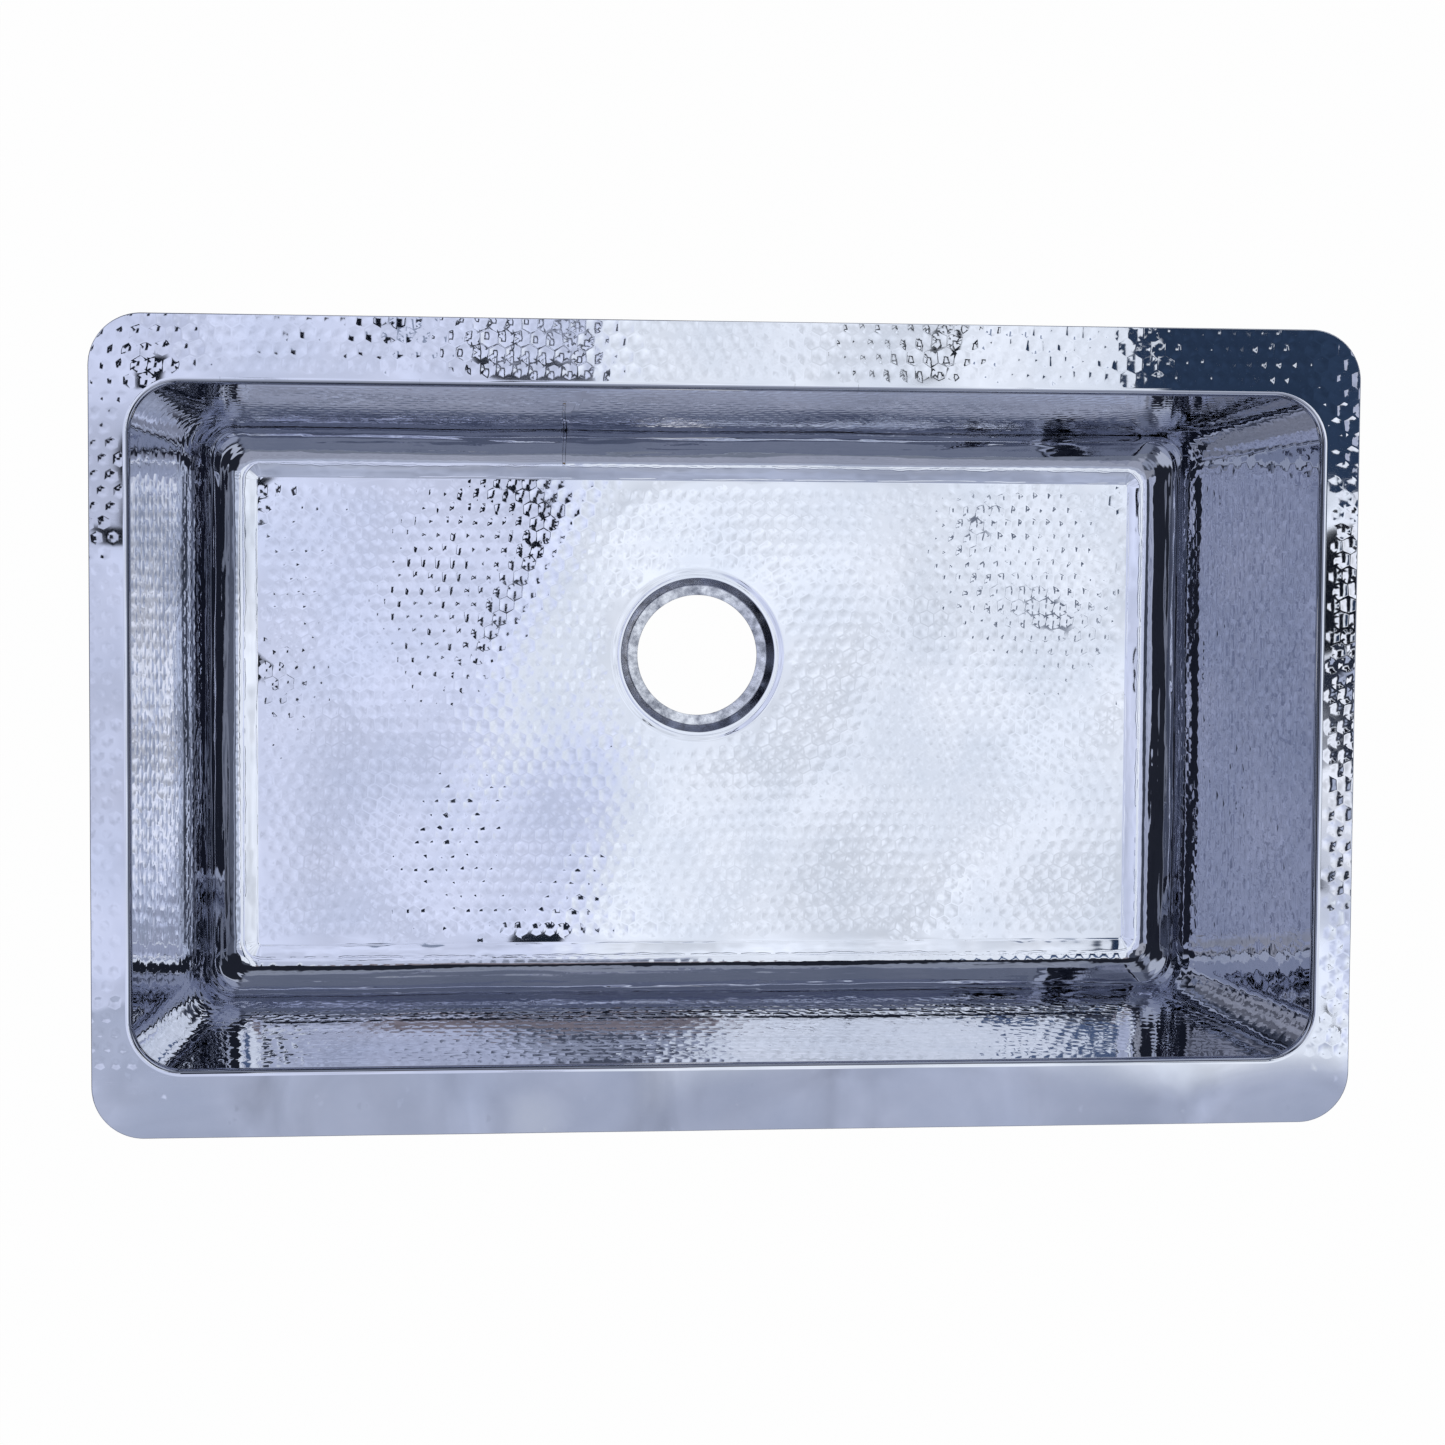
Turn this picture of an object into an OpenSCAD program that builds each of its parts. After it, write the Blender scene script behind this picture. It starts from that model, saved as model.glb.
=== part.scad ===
// Undermount kitchen sink with one bowl, welded from hammered stainless steel sheet.
// The origin is in the middle of the flange's top face. X runs left to right,
// Y runs from the front edge to the back edge and Z points up.

/* [Flange] */
// Width of the flange, left to right
flange_w = 838; // [810:1:950]
// Depth of the flange, front to back
flange_d = 533; // [470:1:650]
// Radius of the flange's outer corners
flange_corner_r = 34; // [10:1:60]
// Thickness of the steel sheet
sheet_t = 1.5; // [1:0.1:2.5]
// Outside radius of the rolled lip round the opening
lip_r = 5.5; // [3.5:0.5:8]

/* [Bowl] */
// Width of the opening, inside the rolled lip
opening_w = 785; // [740:1:810]
// Depth of the opening, inside the rolled lip
opening_d = 443; // [410:1:500]
// Radius of the opening's corners
opening_corner_r = 32; // [15:1:60]
// Depth of the bowl, from the flange's top face to the edge of its floor
bowl_h = 229; // [150:1:280]
// Width of the floor panel, between its left and right seams
floor_w = 665; // [560:1:700]
// Depth of the floor panel, between its front and back seams
floor_d = 361; // [300:1:380]
// Radius of the floor panel's corners
floor_corner_r = 12; // [6:1:20]
// Inside radius of the cove, where a wall curves into the floor
cove_r = 25; // [12:1:35]
// Radius of the bowl's corners at the top of the cove
cove_corner_r = 22; // [14:1:32]
// Drop of the floor from its edge to the drain
floor_fall = 3; // [1:0.5:8]

/* [Drain] */
// Diameter of the drain hole
drain_d = 88.9; // [60:0.1:92]
// Distance of the drain behind the middle of the bowl
drain_y = 42; // [-60:1:80]
// Diameter of the flat seat round the drain hole
seat_d = 104; // [100:1:108]
// Diameter of the recess where it meets the ring's rim
recess_d = 114; // [112:1:130]
// Depth of the recess, from the floor beside it to the seat
recess_h = 5; // [2:0.5:10]

/* [Welds] */
// Distance of the wall's seam to the left of the middle of the back wall
seam_x = 100; // [-250:1:250]
// Gap between the two ends of the wall strip, which the weld fills
seam_gap = 2; // [1:0.5:4]
// Width of a weld bead on the outside of the bowl
bead_w = 6; // [4:0.5:10]
// Width of the weld bead round the drain ring
drain_bead_w = 4; // [2:0.5:8]
// Height of a weld bead above the sheet
bead_h = 1.2; // [0.5:0.1:2]

/* [Hidden] */
$fn = 96;

// Steps in a quarter turn of the bowl's corners, in the cove and along a floor edge
CORNER_STEPS = 8;
COVE_STEPS = 9;
EDGE_STEPS = 8;
// Angle of a quarter turn
QUARTER = 90;
// Length that a cutter runs past what it cuts
PAST = 5;
// Clearance between a weld bead and a bend beside it
BEAD_CLEAR = 0.2;

// Heights of the lip's lower end, the floor's edge and the centre of the cove's arc
lip_z = -lip_r;
floor_z = -bowl_h;
cove_z = floor_z + cove_r;
// Height of the floor round the drain
low_floor_z = floor_z - floor_fall;

// Radii of the drain ring. Under a bend its sheet turns bend_set further out, and the
// rim beyond that is flat for half the width of its weld.
drain_r = drain_d / 2;
seat_r = seat_d / 2;
recess_r = recess_d / 2;
bend_set = sheet_t * tan(atan2(recess_h, recess_r - seat_r) / 2);
ring_r = recess_r + bend_set + BEAD_CLEAR + drain_bead_w / 2;

// Lean of a wall from the vertical. The wall's inner face runs from the lip's inner edge,
// at half width o, down to touch the cove's arc, which ends on the floor at half width f.
function lean(o, f) =
    let (dx = o - f, dz = lip_z - cove_z)
    acos(cove_r / norm([dx, dz])) - atan2(dz, dx);

lean_x = lean(opening_w / 2, floor_w / 2);
lean_y = lean(opening_d / 2, floor_d / 2);

// Half width of the bowl at height z, on a surface that lies k outside its inner face:
// a straight line above the point where the wall touches the cove, and the arc below it.
function half(f, a, z, k) =
    let (r = cove_r + k, touch_z = cove_z - r * sin(a))
    z > touch_z
        ? f + r * cos(a) + (z - touch_z) * tan(a)
        : f + sqrt(max(0, r * r - (cove_z - z) * (cove_z - z)));

function half_x(z, k) = half(floor_w / 2, lean_x, z, k);
function half_y(z, k) = half(floor_d / 2, lean_y, z, k);

// Centre of a corner's arc at height z: it moves in as the corner tightens to the floor
function corner_x(z) = lookup(z, [
    [floor_z, floor_w / 2 - floor_corner_r],
    [cove_z, half_x(cove_z, 0) - cove_corner_r],
    [lip_z, opening_w / 2 - opening_corner_r]
]);
function corner_y(z) = lookup(z, [
    [floor_z, floor_d / 2 - floor_corner_r],
    [cove_z, half_y(cove_z, 0) - cove_corner_r],
    [lip_z, opening_d / 2 - opening_corner_r]
]);

// Quarter turn q of the bowl's outline at height z, k outside its inner face. Turn 0 is
// the right back corner and the others follow it anticlockwise, seen from above.
function bowl_corner(q, z, k) = [
    for (j = [0 : CORNER_STEPS])
        let (
            a = QUARTER * (q + j / CORNER_STEPS),
            sx = (q == 0 || q == 3) ? 1 : -1,
            sy = q < 2 ? 1 : -1,
            cx = corner_x(z),
            cy = corner_y(z)
        )
        [sx * cx + (half_x(z, k) - cx) * cos(a), sy * cy + (half_y(z, k) - cy) * sin(a), z]
];

// Whole outline of the bowl at height z, k outside its inner face
function bowl_ring(z, k) = [for (q = [0 : 3]) each bowl_corner(q, z, k)];

// The same outline as the wall strip runs, from the seam right round to the seam again
function strip_line(z, k) = [
    [-seam_x - seam_gap / 2, half_y(z, k), z],
    for (q = [1, 2, 3, 0]) each bowl_corner(q, z, k),
    [-seam_x + seam_gap / 2, half_y(z, k), z]
];

// Heights of the steps in the cove, k outside its inner face, from its top to its end
function cove_heights(k) = [
    for (i = [0 : COVE_STEPS]) cove_z - (cove_r + k) * sin(QUARTER * i / COVE_STEPS)
];

// Faces between m lines of n points each, which run side by side and close into a tube.
// A closed tube also joins each line's last point to its first.
function tube_faces(m, n, closed) = [
    for (i = [0 : m - 1], j = [0 : n - (closed ? 1 : 2)])
        let (
            i2 = (i + 1) % m,
            j2 = (j + 1) % n,
            a = i * n + j,
            b = i * n + j2,
            c = i2 * n + j2,
            d = i2 * n + j
        )
        each [[a, b, c], [a, c, d]]
];

// Solid whose surface runs through a list of closed rings
module ring_solid(rings) {
    polyhedron(
        points = [for (r = rings) each r],
        faces = tube_faces(len(rings), len(rings[0]), true),
        convexity = 10
    );
}

// Solid whose surface runs through a list of open lines, with a flat face at either end
module strip_solid(lines) {
    m = len(lines);
    n = len(lines[0]);
    polyhedron(
        points = [for (l = lines) each l],
        faces = concat(
            tube_faces(m, n, false),
            [[for (i = [0 : m - 1]) i * n]],
            [[for (i = [m - 1 : -1 : 0]) i * n + n - 1]]
        ),
        convexity = 10
    );
}

// Profile carried round a rectangle with rounded corners. In the profile, x is the
// distance outside the rectangle and y is the height.
module frame_run(w, d, r) {
    for (turn = [0, 180]) {
        rotate(turn) translate([w / 2, d / 2 - r, 0]) rotate([90, 0, 0])
            linear_extrude(d - 2 * r) children();
        rotate(turn + QUARTER) translate([d / 2, w / 2 - r, 0]) rotate([90, 0, 0])
            linear_extrude(w - 2 * r) children();
    }
    for (sx = [-1, 1], sy = [-1, 1]) {
        start = sx > 0 ? (sy > 0 ? 0 : 270) : (sy > 0 ? 90 : 180);
        translate([sx * (w / 2 - r), sy * (d / 2 - r), 0]) rotate(start)
            rotate_extrude(angle = QUARTER) translate([r, 0]) children();
    }
}

// Flat rectangle with rounded corners
module rounded_sheet(w, d, r, h) {
    linear_extrude(h) union() {
        square([w - 2 * r, d], center = true);
        square([w, d - 2 * r], center = true);
        for (sx = [-1, 1], sy = [-1, 1])
            translate([sx * (w / 2 - r), sy * (d / 2 - r)]) circle(r);
    }
}

// Section of the lip: a quarter turn from level to straight down
module lip_section() {
    intersection() {
        translate([lip_r, -lip_r]) difference() {
            circle(lip_r);
            circle(lip_r - sheet_t);
        }
        translate([0, -lip_r]) square(lip_r);
    }
}

// Section of a weld bead of width w that lies under a sheet: a low circular segment
module bead_section(w) {
    bead_r = (w * w / 4 + bead_h * bead_h) / (2 * bead_h);
    intersection() {
        translate([0, bead_r - bead_h]) circle(bead_r);
        translate([-w, -2 * bead_h]) square([2 * w, 2 * bead_h]);
    }
}

// Strip of the back wall's section between k0 and k1 outside its inner face,
// from height top down to the last cove step, width wide along X
module back_strip(k0, k1, top, steps, width) {
    inner = [for (z = concat([top], [for (i = [0 : steps]) cove_heights(k0)[i]])) [half_y(z, k0), z]];
    outer = [for (z = concat([top], [for (i = [0 : steps]) cove_heights(k1)[i]])) [half_y(z, k1), z]];
    translate([-seam_x - width / 2, 0, 0]) rotate([QUARTER, 0, QUARTER]) linear_extrude(width)
        polygon(concat(inner, [for (i = [len(outer) - 1 : -1 : 0]) outer[i]]));
}

// Flat ring of sheet with rounded corners, whose inner edge rolls down into the bowl
module flange() {
    color("lightsteelblue") {
        translate([0, 0, -sheet_t]) difference() {
            rounded_sheet(flange_w, flange_d, flange_corner_r, sheet_t);
            translate([0, 0, -PAST]) rounded_sheet(
                opening_w + 2 * lip_r, opening_d + 2 * lip_r, opening_corner_r + lip_r,
                sheet_t + 2 * PAST
            );
        }
        frame_run(opening_w, opening_d, opening_corner_r) lip_section();
    }
}

// Strip bent right round the bowl, with its cove turned in at the bottom.
// Its two ends stand seam_gap apart in the back wall.
module wall_band() {
    color("slategray") strip_solid([
        strip_line(lip_z, 0),
        for (z = cove_heights(0)) strip_line(z, 0),
        for (i = [COVE_STEPS : -1 : 0]) strip_line(cove_heights(sheet_t)[i], sheet_t),
        strip_line(lip_z, sheet_t)
    ]);
}

// Outline of the floor panel, inset by g, with points along its straight edges too
function floor_outline(g) =
    let (ring = [for (p = bowl_ring(floor_z, 0)) [p.x - sign(p.x) * g, p.y - sign(p.y) * g]])
    [
        for (i = [0 : len(ring) - 1])
            let (a = ring[i], b = ring[(i + 1) % len(ring)], n = norm(b - a) > bead_w * 2 ? EDGE_STEPS : 1)
            for (s = [0 : n - 1]) a + (b - a) * s / n
    ];

// Round outline about the drain with radius r, one point towards each point of the floor's outline
function drain_outline(r) = [
    for (p = floor_outline(0))
        let (a = atan2(p.y - drain_y, p.x))
        [r * cos(a), drain_y + r * sin(a)]
];

function at_height(outline, z) = [for (p = outline) [p.x, p.y, z]];

// Hammered bottom sheet. It is level for half a bead's width beside each seam
// and falls to the drain between them.
module floor_panel() {
    drain_border = drain_bead_w / 2;
    outlines = [
        [floor_outline(0), floor_z],
        [floor_outline(bead_w / 2), floor_z],
        [drain_outline(ring_r + drain_border), low_floor_z],
        [drain_outline(ring_r - drain_border), low_floor_z]
    ];
    color("lightsteelblue") difference() {
        ring_solid([
            for (i = [len(outlines) - 1 : -1 : 0]) at_height(outlines[i][0], outlines[i][1]),
            for (o = outlines) at_height(o[0], o[1] - sheet_t)
        ]);
        translate([0, drain_y, low_floor_z - sheet_t - PAST])
            cylinder(r = ring_r, h = sheet_t + 2 * PAST);
    }
}

// Pressed ring let into the floor: a narrow rim, a sloping step and the flat seat round the hole
module drain_ring() {
    color("silver") translate([0, drain_y, low_floor_z]) rotate_extrude() polygon([
        [ring_r, 0],
        [recess_r, 0],
        [seat_r, -recess_h],
        [drain_r, -recess_h],
        [drain_r, -recess_h - sheet_t],
        [seat_r + bend_set, -recess_h - sheet_t],
        [recess_r + bend_set, -sheet_t],
        [ring_r, -sheet_t]
    ]);
}

// Fillet of weld on the outside of the wall, right under the lip
module weld_rim() {
    color("dimgray") ring_solid([
        bowl_ring(lip_z, sheet_t),
        bowl_ring(lip_z - bead_w, sheet_t),
        bowl_ring(lip_z - bead_w / 2, sheet_t + bead_h),
        bowl_ring(lip_z, sheet_t + bead_h)
    ]);
}

// Weld that joins the two ends of the wall strip: it fills the gap through the sheet
// and stands up as a bead on the outside, between the rim's weld and the floor's
module weld_wall_seam() {
    color("dimgray") {
        back_strip(0, sheet_t, lip_z, COVE_STEPS, seam_gap);
        back_strip(sheet_t, sheet_t + bead_h, lip_z - bead_w, COVE_STEPS - 2, bead_w);
    }
}

// Bead of weld under the seam between the cove and the floor panel
module weld_floor_seam() {
    color("dimgray") translate([0, 0, floor_z - sheet_t])
        frame_run(floor_w, floor_d, floor_corner_r) bead_section(bead_w);
}

// Bead of weld under the seam between the floor panel and the drain ring
module weld_drain() {
    color("dimgray") translate([0, drain_y, low_floor_z - sheet_t]) rotate_extrude()
        translate([ring_r, 0]) bead_section(drain_bead_w);
}

flange();
wall_band();
floor_panel();
drain_ring();
weld_rim();
weld_wall_seam();
weld_floor_seam();
weld_drain();
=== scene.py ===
# %% [markdown]
# # A sink of hammered stainless steel
# The real sink is welded from four pieces of 1.5 mm steel: a flat flange that is glued under a
# worktop, one strip bent round to make the walls, a floor and a pressed ring round the drain.
# Every face that is seen in use was struck with a round hammer and then polished like a mirror.
#
# A mirror shows its surroundings and not itself, so two things make this picture: the true
# shape of the small dents, and the light and dark things that they reflect. The dents are
# therefore real geometry here, and no bump is used for them.

import math

import bpy
import numpy as np
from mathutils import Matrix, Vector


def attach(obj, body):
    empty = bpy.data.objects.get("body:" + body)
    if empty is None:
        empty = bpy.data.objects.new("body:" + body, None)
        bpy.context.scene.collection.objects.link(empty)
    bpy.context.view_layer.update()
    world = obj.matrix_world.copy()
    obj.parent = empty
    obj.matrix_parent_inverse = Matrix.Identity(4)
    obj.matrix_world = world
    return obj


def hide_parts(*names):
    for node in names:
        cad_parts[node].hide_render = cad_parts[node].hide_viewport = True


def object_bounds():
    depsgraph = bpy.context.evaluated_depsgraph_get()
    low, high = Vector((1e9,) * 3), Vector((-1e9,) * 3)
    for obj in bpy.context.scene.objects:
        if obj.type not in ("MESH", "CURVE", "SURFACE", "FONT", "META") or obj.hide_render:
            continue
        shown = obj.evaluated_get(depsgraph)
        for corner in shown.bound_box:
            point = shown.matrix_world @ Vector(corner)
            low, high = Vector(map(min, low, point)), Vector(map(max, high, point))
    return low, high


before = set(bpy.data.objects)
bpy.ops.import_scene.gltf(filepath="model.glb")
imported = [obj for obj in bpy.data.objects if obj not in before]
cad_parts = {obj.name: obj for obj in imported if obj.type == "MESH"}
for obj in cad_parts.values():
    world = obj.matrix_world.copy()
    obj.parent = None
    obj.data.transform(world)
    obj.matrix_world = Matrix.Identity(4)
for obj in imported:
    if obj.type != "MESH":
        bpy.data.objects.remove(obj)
CAD_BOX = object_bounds()
print("nodes:", sorted(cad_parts))
print("box:", [tuple(round(v, 4) for v in corner) for corner in CAD_BOX])

# %% [markdown]
# ## Sizes
# The sheet metal is worked out in millimetres, because that is how a maker thinks of it, and
# turned to metres when a mesh is made. X runs to the right, Y to the back edge and Z up. The
# origin is in the middle of the opening, at the height of the flange's top face.

# %% Sizes of the steel, in millimetres
MM = 0.001
FLANGE_HALF, FLANGE_CORNER = np.array([419.0, 266.5]), 34.0
OPEN_HALF, OPEN_CORNER = np.array([392.5, 221.5]), 32.0
FLOOR_HALF, FLOOR_CORNER = np.array([332.5, 180.5]), 12.0
SHEET, LIP_R = 1.5, 5.5
LIP_Z, FLOOR_Z, COVE_R, COVE_CORNER = -5.5, -229.0, 25.0, 22.0
FLOOR_FALL = 3.0
DRAIN = np.array([0.0, 42.0])
DRAIN_R, SEAT_R, RECESS_R, RECESS_H, RING_R = 44.45, 52.0, 57.0, 5.0, 59.8
SEAM_X, SEAM_GAP = -100.0, 2.0
BEAD_W, BEAD_H = 6.0, 1.2
COVE_Z = FLOOR_Z + COVE_R
LOW_FLOOR_Z = FLOOR_Z - FLOOR_FALL
print("sheet", SHEET, "mm; bowl", -FLOOR_Z, "mm deep")

# %% [markdown]
# ## The hammer's pattern
# The dents stand in rows, and every other row is moved by half a dent, like the cells of a
# honeycomb. The face of the hammer is part of a large ball, so each dent is a very shallow cup:
# its depth at a distance d from the middle is (r * r - d * d) / (2 * R), where r is the radius
# of its rim and R the radius of the ball. Two cups meet in a sharp ridge.
#
# A plain grid of squares would need millions of faces to show those ridges crisply. The mesh
# follows the pattern instead: one six-sided cell for each dent, whose border runs along the
# ridges. The border between two dents is the line whose points have the same power to both
# rims, and three dents meet in the point with the same power to all three.

# %% Dents: where they are and how wide
DENT_PITCH, ROW_PITCH = 10.6, 10.0
DENT_R, DENT_SPREAD = 5.2, (0.84, 1.10)
DENT_JITTER = 0.9
ROW_SWAY, COLUMN_SWAY = 1.3, 1.1
BALL_R, WALL_BALL_R = 320.0, 140.0  # the walls were struck with a rounder hammer


def dent_rows(low, high, seed, strength):
    """Middles and rim radii of the dents on a flat patch. A dent's place is its column and row
    times the pitch, half a pitch further in odd rows, plus a slow wave and a small random step.
    Its radius is a random share of the usual one, times the root of strength at its place."""
    rng = np.random.default_rng(seed)
    cols = int((high[0] - low[0]) / DENT_PITCH) + 5
    rows = int((high[1] - low[1]) / ROW_PITCH) + 5
    row, col = np.indices((rows, cols))
    x = low[0] + (col - 2 + 0.5 * (row % 2)) * DENT_PITCH
    y = low[1] + (row - 2) * ROW_PITCH
    y = y + ROW_SWAY * np.sin(x / 61.0 + y / 190.0 + seed)
    x = x + COLUMN_SWAY * np.sin(y / 47.0 + x / 230.0 + 2 * seed)
    x = x + rng.uniform(-DENT_JITTER, DENT_JITTER, x.shape)
    y = y + rng.uniform(-DENT_JITTER, DENT_JITTER, x.shape)
    r = DENT_R * rng.uniform(*DENT_SPREAD, x.shape) * np.sqrt(strength(x, y))
    return x, y, r


# %% Cells: one small mesh round each dent
CELL = 24
MID_E, MID_NE, MID_NW, UP, DOWN = 19, 20, 21, 22, 23
INNER_RING, OUTER_RING = 0.45, 0.80
RIM = 19


def cell_triangles():
    """Triangles of one cell, as places in its list of 31 points: the middle, an inner ring of
    6, an outer ring of 12 and the border's 12. The plain cell has the middle and border only."""
    full = []
    for k in range(6):
        a, a2 = 1 + k, 1 + (k + 1) % 6
        b, b1, b2 = 7 + 2 * k, 8 + 2 * k, 7 + (2 * k + 2) % 12
        full += [(0, a, a2), (a, b, b1), (a, b1, a2), (a2, b1, b2)]
    for k in range(12):
        b, b2, c, c2 = 7 + k, 7 + (k + 1) % 12, RIM + k, RIM + (k + 1) % 12
        full += [(b, c, c2), (b, c2, b2)]
    plain = [(0, RIM + k, RIM + (k + 1) % 12) for k in range(12)]
    return np.array(full), np.array(plain)


FULL_CELL, PLAIN_CELL = cell_triangles()


def dent_cells(x, y, r):
    """Points of all cells and each cell's 31 point numbers. The border runs through the points
    of equal power: for circles at 0 and u with powers p and q, those with
    2 u.x = u.u + p - q. The rings lie at fixed shares of the way from middle to border."""
    rows, cols = x.shape
    row, col = (v.ravel() for v in np.indices(x.shape))
    odd = row % 2

    def near(d_row, d_col):
        return np.clip(row + d_row, 0, rows - 1) * cols + np.clip(col + d_col, 0, cols - 1)

    here, east, west = near(0, 0), near(0, 1), near(0, -1)
    north_east, north_west = near(1, odd), near(1, odd - 1)
    south_east, south_west = near(-1, odd), near(-1, odd - 1)
    middle, power = np.stack([x.ravel(), y.ravel()], 1), r.ravel() ** 2

    def between(other):
        step = middle[other] - middle
        share = 0.5 + (power - power[other]) / np.maximum(2 * (step**2).sum(1), 1e-9)
        return middle + step * np.clip(share, 0.2, 0.8)[:, None]

    def meeting(b, c):
        u, v = middle[b] - middle, middle[c] - middle
        ku = ((u**2).sum(1) + power - power[b]) / 2
        kv = ((v**2).sum(1) + power - power[c]) / 2
        det = u[:, 0] * v[:, 1] - u[:, 1] * v[:, 0]
        det = np.where(np.abs(det) < 1e-9, 1, det)
        p = [(ku * v[:, 1] - kv * u[:, 1]) / det, (kv * u[:, 0] - ku * v[:, 0]) / det]
        return middle + np.stack(p, 1)

    plan = np.empty((rows * cols, CELL, 2))
    plan[:, 0] = middle
    plan[:, MID_E] = between(east)
    plan[:, MID_NE] = between(north_east)
    plan[:, MID_NW] = between(north_west)
    plan[:, UP] = meeting(east, north_east)
    plan[:, DOWN] = meeting(east, south_east)
    border = [
        (here, MID_E), (here, UP), (here, MID_NE), (north_west, DOWN), (here, MID_NW), (west, UP),
        (west, MID_E), (west, DOWN), (south_west, MID_NE), (south_west, UP), (south_east, MID_NW),
        (here, DOWN),
    ]
    border = np.stack([owner * CELL + place for owner, place in border], 1)
    reach = plan.reshape(-1, 2)[border] - middle[:, None]
    plan[:, 1:7] = middle[:, None] + INNER_RING * reach[:, ::2]
    plan[:, 7:19] = middle[:, None] + OUTER_RING * reach
    points = np.concatenate([here[:, None] * CELL + np.arange(RIM), border], 1)
    whole = (row > 0) & (row < rows - 1) & (col > 0) & (col < cols - 1)
    return plan.reshape(-1, 2), points, whole


def dent_depth(plan, x, y, r, ball=BALL_R):
    """Depth of every point and its slope along both directions: (r*r - d*d) / (2R) inside the
    rim of the point's own dent and nothing outside. On a ridge the two slopes cancel out."""
    middle = np.repeat(np.stack([x.ravel(), y.ravel()], 1), CELL, 0)
    radius = np.repeat(r.ravel(), CELL)
    away = plan - middle
    left = radius**2 - (away**2).sum(1)
    on_border = np.tile(np.arange(CELL) >= RIM, x.size)
    slope = np.where(((left > 0) & ~on_border)[:, None], -away / ball, 0.0)
    return np.maximum(left, 0) / (2 * ball), slope


def cup_depth(a, b, x, y, r, ball):
    """Depth of the dents at any points of the pattern: the largest r * r - d * d, over 2 R,
    among the dents of the point's row and column and of the two on each side."""
    row = np.rint((b - y[0, 0]) / ROW_PITCH).astype(int)
    col = np.rint((a - x[0, 0]) / DENT_PITCH).astype(int)
    best = np.zeros(a.shape)
    for i in range(-2, 3):
        for j in range(-2, 3):
            dent = np.clip(row + i, 0, x.shape[0] - 1), np.clip(col + j, 0, x.shape[1] - 1)
            best = np.maximum(best, r[dent] ** 2 - (a - x[dent]) ** 2 - (b - y[dent]) ** 2)
    return best / (2 * ball)


print("one dent is", round(DENT_R**2 / (2 * BALL_R), 3), "mm deep")

# %% [markdown]
# ## Sheet that isn't quite flat
# Hammering also leaves long, low swellings in the sheet. They are hardly a tenth of a
# millimetre high, but in a mirror they bend every straight edge that is reflected. A few sine
# waves in different directions, with their slopes, are enough.

# %% Long waves of the sheet
def sheet_waves(a, b, seed, slope=0.0035, waves=6):
    """Height of the sheet's long waves and its slope along a and b: a sum of sines, each with
    a length of 70 to 260 mm and an amplitude that gives it the same steepness."""
    rng = np.random.default_rng(seed)
    height, slope_a, slope_b = np.zeros_like(a), np.zeros_like(a), np.zeros_like(a)
    for _ in range(waves):
        turn, length, phase = rng.uniform(0, math.pi), rng.uniform(70, 260), rng.uniform(0, 6.28)
        ka, kb = 2 * math.pi / length * math.cos(turn), 2 * math.pi / length * math.sin(turn)
        size = slope * length / (2 * math.pi)
        height += size * np.sin(ka * a + kb * b + phase)
        slope_a += size * ka * np.cos(ka * a + kb * b + phase)
        slope_b += size * kb * np.cos(ka * a + kb * b + phase)
    return height, slope_a, slope_b


# %% [markdown]
# ## From a flat pattern to a shell of steel
# Each piece of sheet is first a flat pattern, as it was on the maker's bench. A function then
# bends it into place. Cells that hang over the edge of the pattern are pushed back onto it,
# the underside follows at the sheet's thickness, and the edge closes the shell all round.

# %% Tools for outlines
def off_core(p, half, corner):
    """Vector from the straight core of a rounded rectangle to p, and its length: inside the
    outline the length is under the corner's radius."""
    core = np.clip(p, corner - half, half - corner)
    away = p - core
    return core, away, np.maximum(np.linalg.norm(away, axis=1), 1e-9)


def push_inside(p, half, corner):
    """Points outside a rounded rectangle move to the nearest point of its outline."""
    core, away, far = off_core(p, half, corner)
    out = far > corner
    return np.where(out[:, None], core + away * (corner / far)[:, None], p), out


def push_outside(p, half, corner):
    """Points inside a rounded rectangle move straight out to its outline."""
    core, away, far = off_core(p, half, corner)
    hidden = far < corner
    return np.where(hidden[:, None], core + away * (corner / far)[:, None], p), hidden


def outline_normal(p, half, corner):
    """Direction that points straight out of a rounded rectangle at p."""
    _, away, far = off_core(p, half, corner)
    return away / far[:, None]


# %% Make a mesh from arrays
def unit(v):
    return v / np.maximum(np.linalg.norm(v, axis=1), 1e-12)[:, None]


def make_piece(name, points, triangles, normals, finishes, finish_of, node, slot):
    """A mesh object from points in millimetres, triangles and one normal for each point. It
    rides on the only body, stands for its CAD node and takes one of finishes for each triangle, as
    finish_of says. slot is not used."""
    mesh = bpy.data.meshes.new(name)
    mesh.vertices.add(len(points))
    mesh.vertices.foreach_set("co", (points * MM).astype(np.float32).ravel())
    mesh.loops.add(triangles.size)
    mesh.loops.foreach_set("vertex_index", triangles.ravel().astype(np.int32))
    mesh.polygons.add(len(triangles))
    mesh.polygons.foreach_set("loop_start", np.arange(0, triangles.size, 3, dtype=np.int32))
    for finish in finishes:
        mesh.materials.append(finish)
    mesh.polygons.foreach_set("material_index", finish_of.astype(np.int32))
    mesh.update(calc_edges=True)
    mesh.shade_smooth()
    if normals is not None:
        mesh.normals_split_custom_set_from_vertices(normals.tolist())
    piece = bpy.data.objects.new(name, mesh)
    bpy.context.scene.collection.objects.link(piece)
    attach(piece, "root")
    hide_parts(node)
    print(f"{name}: {len(triangles)} triangles")
    return piece


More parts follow.
